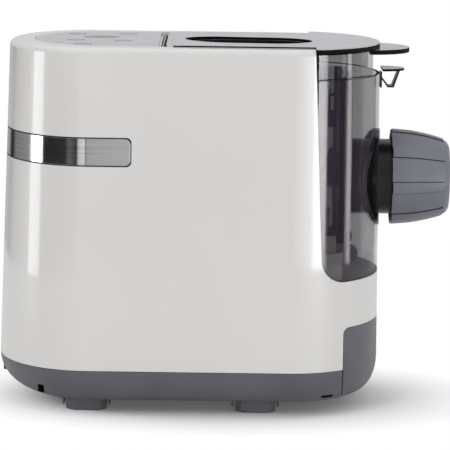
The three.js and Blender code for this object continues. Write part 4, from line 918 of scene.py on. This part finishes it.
# mixing tub with flange, skids and side keys
mixing = {"rear": -46, "front": 92, "wall": 2.5, "flange": 4, "flangeRear": 88.5, "skids": (28, 32),
          "skidLow": 105.75, "skidTop": 148, "skidFront": 80, "axleHole": 12.35, "edge": 0.5,
          "keyRear": 78, "keyFront": 85.4, "keyLow": 224.8, "keyHigh": 237.9, "keyOut": 69, "keyIn": 62.5,
          "keyCorner": 2, "ribRear": 79.6, "ribFront": 80.8, "ribTop": 254, "ribOut": 66.5, "hookFront": 84,
          "hookLow": 248.5, "hookHigh": 251}


def makeTub():
    rear, fore, wall = mixing["rear"], mixing["front"], mixing["wall"]
    keyRear, keyLow, keyHigh = mixing["keyRear"], mixing["keyLow"], mixing["keyHigh"]
    keyIn, keyOut, ribIn = mixing["keyIn"], mixing["keyOut"], (mixing["keyIn"], mixing["ribOut"])
    shell = tubForm("mixingTub", 0, rear, fore)
    join(shell, tubForm("flange", -mixing["flange"], mixing["flangeRear"], fore),
         *bothSides("skid", (rear, mixing["skidFront"]), mixing["skids"],
                    (mixing["skidLow"], mixing["skidTop"])))
    sideKeys = bothSides("key", (keyRear, mixing["keyFront"]), (keyIn, keyOut), (keyLow, keyHigh))
    for key in sideKeys:
        roundCorners(key, mixing["keyCorner"], lambda m, d: abs(d.y) > 3, segments=5)
    join(shell, *sideKeys,
         *bothSides("rib", (mixing["ribRear"], mixing["ribFront"]), ribIn, (keyHigh - 1, mixing["ribTop"])),
         *bothSides("hook", (mixing["ribRear"], mixing["hookFront"]), ribIn,
                    (mixing["hookLow"], mixing["hookHigh"])))
    cut(shell, tubForm("cavity", wall, rear + wall, fore + 5, top=tub["rimHeight"] + 20),
        rodForm("axleHole", mixing["axleHole"], rear - 5, rear + 5, corners=64))
    tidyMesh(shell)
    finishPiece(shell, "chamber", "smoke", "mixing_chamber", look="smokeTub", edge=mixing["edge"])
    secondLook(shell, "smokeBlack", lambda c, n: abs(c.y) > keyOut - 3 and c.z > keyLow - 1 and
               keyRear - 1 < c.x < mixing["flangeRear"] - 1)
    # painted shade: the flange's front rim faces in black
    secondLook(shell, "paintedShadeBlack", lambda c, n: c.x > mixing["flangeRear"] - 0.2 and abs(n.x) < 0.8)


makeTub()
print("mixing tub ready")

# lip and pads inside the window's edge
lip = {"rear": 64, "front": 77.6, "low": 106, "high": 262, "outer": 6.2, "inner": 7.8, "sillFront": 92,
       "sillHigh": 127, "padRear": 76, "padFront": 86.5, "padLow": 103.2, "padHigh": 141, "padIn": 72,
       "padOut": 77, "padCorner": 2, "padRim": 1.6, "padDent": 0.8, "capWider": 0.6, "capLonger": 1,
       "capSunk": 0.4, "capRise": 3, "capEdge": 0.8, "edge": 0.3}


def makeLip():
    rear, low, padHigh = lip["rear"], lip["low"], lip["padHigh"]
    wall = planWall("windowLip", low, lip["high"], lip["outer"], lip["inner"])
    trim(wall, join(slab("shown", rear, low, lip["front"], lip["high"]),
                    slab("sill", rear, low, lip["sillFront"], lip["sillHigh"])))
    tidyMesh(wall)
    finishPiece(wall, "base", "pearl_white", edge=lip["edge"])
    longer, wider = lip["capLonger"], lip["capWider"]
    pads = bothSides("bayPad", (lip["padRear"], lip["padFront"]), (lip["padIn"], lip["padOut"]),
                     (lip["padLow"], padHigh))
    caps = bothSides("cap", (lip["padRear"] - longer, lip["padFront"] + longer),
                     (lip["padIn"] - wider, lip["padOut"] + wider),
                     (padHigh - lip["capSunk"], padHigh + lip["capRise"]))
    for pad, cap in zip(pads, caps):
        roundCorners(pad, lip["padCorner"], lambda m, d: abs(d.y) > 3 and m.z > padHigh - 1, segments=5)
        openMesh(pad)
        pick("FACE", lambda c, n: abs(n.y) > 0.9)
        bpy.ops.mesh.inset(thickness=lip["padRim"] * mm, depth=-lip["padDent"] * mm)
        closeMesh()
        finishPiece(pad, "base", "nylon", edge=lip["edge"])
        cap.name = pad.name + "Cap"
        finishPiece(cap, "base", "dark_plastic", look="smokeBlack", edge=lip["capEdge"], segments=3)


makeLip()
print("window lip ready")

# kneading paddle
paddle = {"rear": -49, "front": 80, "hub": 9, "arm": 4, "reach": 56, "tipRound": 3.4, "socket": 19,
          "hex": 6.35, "collar": (7, 11), "collarRadius": 5.6, "edge": 0.5,
          "arms": ((0.13, "Y", 1), (0.13, "Y", -1), (0.47, "Z", -1), (0.81, "Y", 1), (0.81, "Y", -1))}


def makePaddle():
    rear, fore = paddle["rear"], paddle["front"]
    piece = rodForm("kneadingPaddleArms", paddle["hub"], rear, fore, corners=72)
    for along, way, side in paddle["arms"]:
        x = rear + (fore - rear) * along
        offset, centre = (axis, (x, 0)) if way == "Z" else (0, (x, axis))
        ends = sorted((offset, offset + side * paddle["reach"]))
        arm = rodForm("arm", paddle["arm"], *ends, centre, along=way, corners=40)
        openMesh(arm)
        pick("FACE", lambda c, n: (n.z if way == "Z" else n.y) * side > 0.9)
        bevelEdges(paddle["tipRound"], 8)
        closeMesh()
        ends = sorted(offset + side * out for out in paddle["collar"])
        join(piece, arm, rodForm("collar", paddle["collarRadius"], *ends, centre, along=way, corners=40))
    cut(piece, rodForm("socket", paddle["hex"], rear - 5, rear + paddle["socket"], corners=6))
    tidyMesh(piece)
    finishPiece(piece, "paddle", "dark_plastic", "kneading_paddle", look="paddleGrey", edge=paddle["edge"])


# extrusion screw: a flight wound round a core
screw = {"rear": 80.35, "front": 150, "core": 9, "flight": 22.5, "turns": 3, "perTurn": 24, "corners": 60,
         "crest": 0.05, "flank": 0.13, "edge": 0.25}


def makeScrew():
    steps, core = screw["turns"] * screw["perTurn"], screw["core"]
    piece = circleForm("windingScrew", screw["corners"], core, "X", (screw["rear"], 0, axis))
    live = bmesh.from_edit_mesh(piece.data)
    for vert in live.verts:  # draws the circle out into the flight's crest
        turn = abs(math.atan2(vert.co.z - axis * mm, vert.co.y)) / (2 * math.pi)
        share = max(0, min(1, (screw["flank"] - turn) / (screw["flank"] - screw["crest"])))
        share = share * share * (3 - 2 * share)
        radius = core + (screw["flight"] - core) * share
        vert.co.y *= radius / core
        vert.co.z = axis * mm + (vert.co.z - axis * mm) * radius / core
    bmesh.update_edit_mesh(piece.data)
    pick("FACE")
    for step in range(steps):
        pullOut((screw["front"] - screw["rear"]) / steps, 0, 0)
        bpy.ops.transform.rotate(value=-math.radians(360 / screw["perTurn"]), orient_axis="X",
                                 center_override=(0, 0, axis * mm))
    closeSolid()
    finishPiece(piece, "paddle", "dark_plastic", "extrusion_screw", look="paddleGrey", edge=screw["edge"],
                degrees=40)


makePaddle()
makeScrew()
print("paddle and screw ready")

# shaping disc and the spares in the drawer
disc = {"radius": 27.15, "rear": 165.35, "front": 170.15, "ring": 16.3, "hole": 2.44, "holes": 8,
        "holeSides": 6, "dishRadius": 21.5, "dish": 0.7, "edge": 0.3, "spareX": 60, "spareY": 32.75,
        "spares": ((-1, 23.25, 8, 0.09, 6), (1, 23.25, 6, 0.14, 4), (-1, 28.4, 10, 0.07, 6),
                   (1, 28.4, 5, 0.16, 3))}


def discForm(name, low, centre, along, holes, radius, sides):
    high = low + disc["front"] - disc["rear"]
    plate = rodForm(name, disc["radius"], low, high, centre, along, corners=128)
    cut(plate, rodForm("dish", disc["dishRadius"], high - disc["dish"], high + 3, centre, along, corners=128))
    for index in range(holes):
        turn = 2 * math.pi * index / holes
        place = (centre[0] + disc["ring"] * math.cos(turn), centre[1] + disc["ring"] * math.sin(turn))
        cut(plate, rodForm("hole", radius, low - 3, high + 3, place, along, corners=sides))
    tidyMesh(plate)
    return plate


def makeDiscs():
    plate = discForm("shapingDiscPlate", disc["rear"], (0, axis), "X", disc["holes"], disc["hole"],
                     disc["holeSides"])
    finishPiece(plate, "front", "nylon", "shaping_disc", edge=disc["edge"])
    for number, (side, low, holes, share, sides) in enumerate(disc["spares"], 1):
        spare = discForm(f"spareDiscPlate{number}", low, (disc["spareX"], side * disc["spareY"]), "Z", holes,
                         disc["radius"] * share, sides)
        finishPiece(spare, "drawer", "nylon", f"spare_disc_{number}", edge=disc["edge"])


makeDiscs()
print("discs ready")

# control panel, keys and display lens
panel = {"low": 284.05, "keyHalf": (7, 4.5), "footHalf": (8.6, 6.1), "footTop": 283.7, "keyTop": 286.6,
         "keyEdge": 0.35, "lens": (-100, 17.94), "lensHalf": (14, 13), "lensEdge": 0.5, "markHalf": (3, 0.45),
         "markDepth": 0.12, "dashHalf": (3.9, 0.45), "edge": 0.25,
         "dashes": ((-140, -3), (-131, -42), (-104, -66), (-64, -48), (-134, 34), (-62, 4))}
keys = (("power", -112, -56.2), ("program", -119, -17.0), ("weight", -82, -17.0), ("start", -120.5, 49.9),
        ("extrude", -79.5, 55.1))


def onMark(centre, places, halves):  # inside one of the sunk marks, its walls included
    long, wide = (half + 0.01 for half in halves)
    return any(abs(centre.x - x) < long and abs(centre.y - y) < wide for x, y in places)


def makeControls():
    top, low, gap, keyTop = machine["topHeight"], panel["low"], machine["gap"], panel["keyTop"]
    plate = panelForm("controlPanelPlate", gap, housing["lidSeam"] - gap, low, top)
    holes = [((x, y), panel["keyHalf"]) for name, x, y in keys] + [(panel["lens"], panel["lensHalf"])]
    for place, halves in holes:
        cut(plate, pillForm("hole", place, *(half + gap for half in halves), 270))
    tidyMesh(plate)
    roundEdges(plate, panel["edge"])
    for place in panel["dashes"]:
        cut(plate, pillForm("dash", place, *panel["dashHalf"], top - panel["markDepth"], corners=16))
    finishPiece(plate, "base", "silver_grey", "control_panel")
    secondLook(plate, "marksAndPaintedShade", lambda c, n: c.z < top - 0.01 and onMark(c, panel["dashes"],
                                                                           panel["dashHalf"]))
    lens = pillForm("displayLensCap", panel["lens"], *panel["lensHalf"], low, top, corners=96)
    finishPiece(lens, "base", "black_gloss", "display_lens", edge=panel["lensEdge"], segments=3)
    for name, x, y in keys:
        key = pillForm(name + "KeyCap", (x, y), *panel["keyHalf"], panel["footTop"] - 1, keyTop)
        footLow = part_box("button_" + name)[0][2] / mm
        join(key, pillForm("foot", (x, y), *panel["footHalf"], footLow, panel["footTop"]))
        tidyMesh(key)
        roundEdges(key, panel["keyEdge"], segments=3)
        cut(key, pillForm("mark", (x, y), *panel["markHalf"], keyTop - panel["markDepth"], corners=16))
        finishPiece(key, name + "_key", "silver_grey", "button_" + name)
        secondLook(key, "marksAndPaintedShade", lambda c, n: 286 < c.z < keyTop - 0.01 and
                   onMark(c, [(x, y)], panel["markHalf"]))


makeControls()
print("controls ready")

# clear window in the lid with its tray and slot
hatch = {"fit": 0.35, "flangeLow": 283, "flangeTop": 284.5, "trayInset": 4.0, "wall": 2, "trayLow": 271,
         "slot": (30, 3.5), "edge": 0.35}


def makeHatch():
    length, width = (half - hatch["fit"] for half in lid["openingHalf"])
    low, inset, wall = hatch["trayLow"], hatch["trayInset"], hatch["wall"]
    piece = pillForm("lidHatchTray", lid["opening"], length, width, hatch["flangeLow"], hatch["flangeTop"],
                     corners=96)
    join(piece, pillForm("tray", lid["opening"], length - inset - hatch["fit"], width - inset - hatch["fit"],
                         low, hatch["flangeLow"] + 0.5, corners=96))
    cut(piece, pillForm("pocket", lid["opening"], length - inset - wall, width - inset - wall, low + wall,
                        corners=96), pillForm("slot", lid["opening"], *hatch["slot"], 260, corners=48))
    tidyMesh(piece)
    finishPiece(piece, "lid", "smoke", "lid_window", look="smokeDeep", edge=hatch["edge"])


makeHatch()
print("lid window ready")

# feet with rubber pads
foot = {"places": (("rear_right", -106.5, -58), ("front_right", 26, -60), ("rear_left", -106.5, 58),
                   ("front_left", 26, 60)), "half": 16.2, "low": 0.6, "corner": 5, "taper": 0.97,
        "top": 10.65, "wing": (18.6, 8, 3.4), "wingGap": 1, "slitTop": 9.15, "edge": 0.6,
        "pad": 1.4, "padHalf": 14.6, "padRim": 2, "padGroove": (0.8, 0.7), "padEdge": 0.3}


def makeFeet():
    _, x0, y0 = foot["places"][0]
    half, top, rest, (long, wide, low) = foot["half"], foot["top"], foot["padHalf"], foot["wing"]
    body = boxForm("footRearRight", (x0 - half, y0 - half, foot["low"]), (x0 + half, y0 + half, top))
    roundCorners(body, foot["corner"], lambda m, d: abs(d.z) > 5, segments=1)
    openMesh(body)
    pick("VERT", lambda v: v.z < top - 1)
    swell((foot["taper"], foot["taper"], 1), (x0, y0, 0))
    closeMesh()
    wing = boxForm("wing", (x0 - long, y0 - wide, low), (x0 + long, y0 + wide, top))
    for side in (-1, 1):  # leaves a slit between the foot and each wing
        near, far = sorted((x0 + side * (half - 1), x0 + side * (half + foot["wingGap"])))
        cut(wing, boxForm("slit", (near, y0 - 50, 0), (far, y0 + 50, foot["slitTop"])))
    join(body, wing)
    tidyMesh(body)
    roundEdges(body, foot["edge"])
    pad = boxForm("footPadRearRight", (x0 - rest, y0 - rest, 0), (x0 + rest, y0 + rest, foot["pad"]))
    roundCorners(pad, foot["corner"], lambda m, d: abs(d.z) > 0.5, segments=1)
    openMesh(pad)
    pick("FACE", lambda c, n: n.z < -0.9)
    bpy.ops.mesh.inset(thickness=foot["padRim"] * mm, depth=0)
    thickness, depth = foot["padGroove"]
    bpy.ops.mesh.inset(thickness=thickness * mm, depth=-depth * mm)
    closeMesh()
    roundEdges(pad, foot["padEdge"])
    words = {place: place.title().replace("_", "") for place, _, _ in foot["places"]}
    for place, x, y in foot["places"][1:]:
        again(body, "foot" + words[place], x - x0, y - y0)
        again(pad, "footPad" + words[place], x - x0, y - y0)
    for place, word in words.items():
        # feet in a lighter grey than the base: painted light, for light falling on the feet
        finishPiece(bpy.data.objects["foot" + word], "base", "base_grey", "foot_" + place, look="footPaintedLitGrey")
        finishPiece(bpy.data.objects["footPad" + word], "base", "rubber")


makeFeet()
print("feet ready")

# eased copies of the plainer pieces: node, piece name, body, edge
plainPieces = (
    ("drawer_tray", "drawerTrayShell", "drawer", 0.5),
    ("drawer_runner_right", "drawerRunnerRight", "base", 0.6),
    ("drawer_runner_left", "drawerRunnerLeft", "base", 0.6),
    ("chamber_seal", "chamberSealRing", "chamber", 0.4),
    ("front_seal", "frontSealGasket", "front", 0.3),
    ("lid_magnet", "lidMagnetBlock", "lid", 0.4),
    ("lid_sensor", "lidSensorBlock", "base", 0.5),
    ("hinge_pin_right", "hingePinRight", "lid", 0.4),
    ("hinge_pin_left", "hingePinLeft", "lid", 0.4),
    ("motor_mount", "motorMountCradle", "base", 0.6),
    ("gearbox_housing", "gearboxHousingShell", "base", 0.5),
    ("gearbox_cover", "gearboxCoverPlate", "base", 0.5),
    ("shaft_bearing", "shaftBearingBush", "base", 0.5),
    ("drive_shaft", "driveShaftRod", "drive", 0.4),
    ("cord_grommet", "cordGrommetSleeve", "base", 0.6),
    ("control_board", "controlBoardPlate", "base", 0.2),
)
refined("inner_frame", "innerFrameShell", "base", 0.5, look="frameGrey")
for values in plainPieces:
    refined(*values)
print("plain pieces ready")

# studio: pale floor, white surroundings, soft lamps
studio = {"floorRadius": 0.95, "floorColour": (0.88, 0.88, 0.88, 1), "shadowScale": (4.7, 6.2, 1),
          "fadeStart": 0.62, "fadeEnd": 1.05, "fadeLow": 0.09, "worldLight": 0.62, "reflectionPeak": 16,
          "skyFrom": 0.01, "skyTo": 0.06, "skyLight": 0.62, "overheadFrom": 0.5, "overheadLight": 0.8,
          "clearLayers": 32}
softboxes = (  # degrees round from the front, right side positive, and the brightness mirrored in gloss
    (-180, 0.42), (-158, 0.42), (-149, 0.03), (-145, 0.03), (-138, 0.25), (-112, 0.36), (-107, 0.9),
    (-105, 5), (-90, 5), (-86, 0.03), (-46, 0.04), (-39, 0.17), (-24.5, 0.04), (-21.5, 0.78), (-9, 0.95),
    (-5.5, 0.15), (-2.8, 0.58), (4, 0.78), (22, 2.4), (36, 4.4), (43, 11), (60, 11), (63, 0.05),
    (95, 0.05), (97, 7), (101, 7), (103, 0.08), (118, 0.1), (127, 1.2), (142, 1), (152, 0.42), (180, 0.42))


def sums(owner, operation, *values):  # a maths node fed by numbers or sockets
    node = owner.node_tree.nodes.new("ShaderNodeMath")
    node.operation = operation
    for socket, value in zip(node.inputs, values):
        if isinstance(value, (int, float)):
            socket.default_value = value
        else:
            owner.node_tree.links.new(value, socket)
    return node.outputs[0]


def makeFloor():
    clearSelection()
    bpy.ops.mesh.primitive_circle_add(vertices=96, radius=studio["floorRadius"], fill_type="NGON")
    floor = settle("studioFloor")
    look = newLook("floorPaper", colour=studio["floorColour"], rough=0.9)
    nodes, links = look.node_tree.nodes, look.node_tree.links
    distance = addNode(look, "VectorMath", objectSpace(look, studio["shadowScale"]))
    distance.operation = "LENGTH"
    fade = spread(look, distance.outputs["Value"], studio["fadeLow"], 1, studio["fadeStart"],
                  studio["fadeEnd"])
    seen = sums(look, "MULTIPLY", fade, addNode(look, "LightPath").outputs["Is Camera Ray"])
    mix = addNode(look, "MixShader", seen, nodes["Principled BSDF"].outputs[0],
                  addNode(look, "Emission").outputs[0])
    links.new(mix.outputs[0], nodes["Material Output"].inputs["Surface"])
    floor.data.materials.append(look)


def makeWorld():
    world = bpy.data.worlds.new("studioWhite")
    bpy.context.scene.world = world
    world.use_nodes = True
    background = world.node_tree.nodes["Background"]
    sight = addNode(world, "SeparateXYZ", addNode(world, "TexCoord").outputs["Generated"]).outputs
    turn = sums(world, "ARCTAN2", sight["X"], sums(world, "MULTIPLY", sight["Y"], -1.0))
    ramp = addNode(world, "ValToRGB", sums(world, "MULTIPLY_ADD", turn, 1 / (2 * math.pi), 0.5))
    stops = ramp.color_ramp.elements
    while len(stops) < len(softboxes):
        stops.new(0.5)
    for stop, (degrees, light) in zip(stops, softboxes):
        stop.position = degrees / 360 + 0.5
        level = light / studio["reflectionPeak"]
        stop.color = (level, level, level, 1)
    mirrored = sums(world, "MULTIPLY", ramp.outputs["Color"], studio["reflectionPeak"])
    overhead = sums(world, "GREATER_THAN", sight["Z"], studio["overheadFrom"])
    overhead = sums(world, "MULTIPLY", overhead, studio["overheadLight"])
    sky = sums(world, "MAXIMUM", overhead, studio["skyLight"])
    rise = spread(world, sight["Z"], 0, 1, studio["skyFrom"], studio["skyTo"])
    path = addNode(world, "LightPath").outputs
    plain = sums(world, "MAXIMUM", path["Is Camera Ray"], path["Is Transmission Ray"])
    base = sums(world, "MAXIMUM", plain, studio["worldLight"])

    def blend(share, first, second):
        node = addNode(world, "Mix", share)
        world.node_tree.links.new(first, node.inputs[2])
        world.node_tree.links.new(second, node.inputs[3])
        return node.outputs[0]

    light = blend(path["Is Glossy Ray"], base, blend(rise, mirrored, sky))
    world.node_tree.links.new(light, background.inputs["Strength"])
    background.inputs["Color"].default_value = (1, 1, 1, 1)


lamps = {  # place and aim in metres, size in metres, power in watts
    "keyLeft": ((-1.3, -1.7, 1.5), (0, 0, 0.15), (1.0, 1.2), 11),
    "fillRight": ((1.6, -1.3, 0.9), (0, 0, 0.15), (0.6, 1.4), 6),
    "overhead": ((0.1, 0.0, 2.0), (0, 0, 0.1), (1.6, 1.2), 7),
}


def makeLamps():
    for name, (place, aim, size, power) in lamps.items():
        clearSelection()
        bpy.ops.object.light_add(type="AREA", location=place)
        lamp = bpy.context.object
        lamp.name = name
        lamp.data.shape = "RECTANGLE"
        lamp.data.size, lamp.data.size_y = size
        lamp.data.energy = power
        lamp.visible_glossy = False  # gloss mirrors the world's softboxes instead
        lamp.rotation_euler = (Vector(aim) - Vector(place)).to_track_quat("-Z", "Y").to_euler()


view = {"place": (-0.0105, -2.4499, 0.4669), "yaw": 0.26, "pitch": 7.65, "roll": 0.8, "lens": 247.1,
        "sensor": 36, "farthest": 50}


def makeCamera():
    yaw, pitch, roll = (math.radians(view[key]) for key in ("yaw", "pitch", "roll"))
    ahead = Vector((math.sin(yaw) * math.cos(pitch), math.cos(yaw) * math.cos(pitch), -math.sin(pitch)))
    right = Vector((math.cos(yaw), -math.sin(yaw), 0))
    up = right.cross(ahead)
    across = math.cos(roll) * right + math.sin(roll) * up
    above = -math.sin(roll) * right + math.cos(roll) * up
    clearSelection()
    bpy.ops.object.camera_add(location=view["place"])
    camera = bpy.context.object
    camera.name = "photoCamera"
    camera.data.lens, camera.data.sensor_width = view["lens"], view["sensor"]
    camera.data.clip_end = view["farthest"]
    camera.rotation_euler = Matrix((across, above, -ahead)).transposed().to_euler()
    bpy.context.scene.camera = camera


makeFloor()
makeWorld()
makeLamps()
makeCamera()
bpy.context.scene.view_settings.view_transform = "Standard"
bpy.context.scene.cycles.transparent_max_bounces = studio["clearLayers"]  # light passes all the smoke walls
print("studio ready")
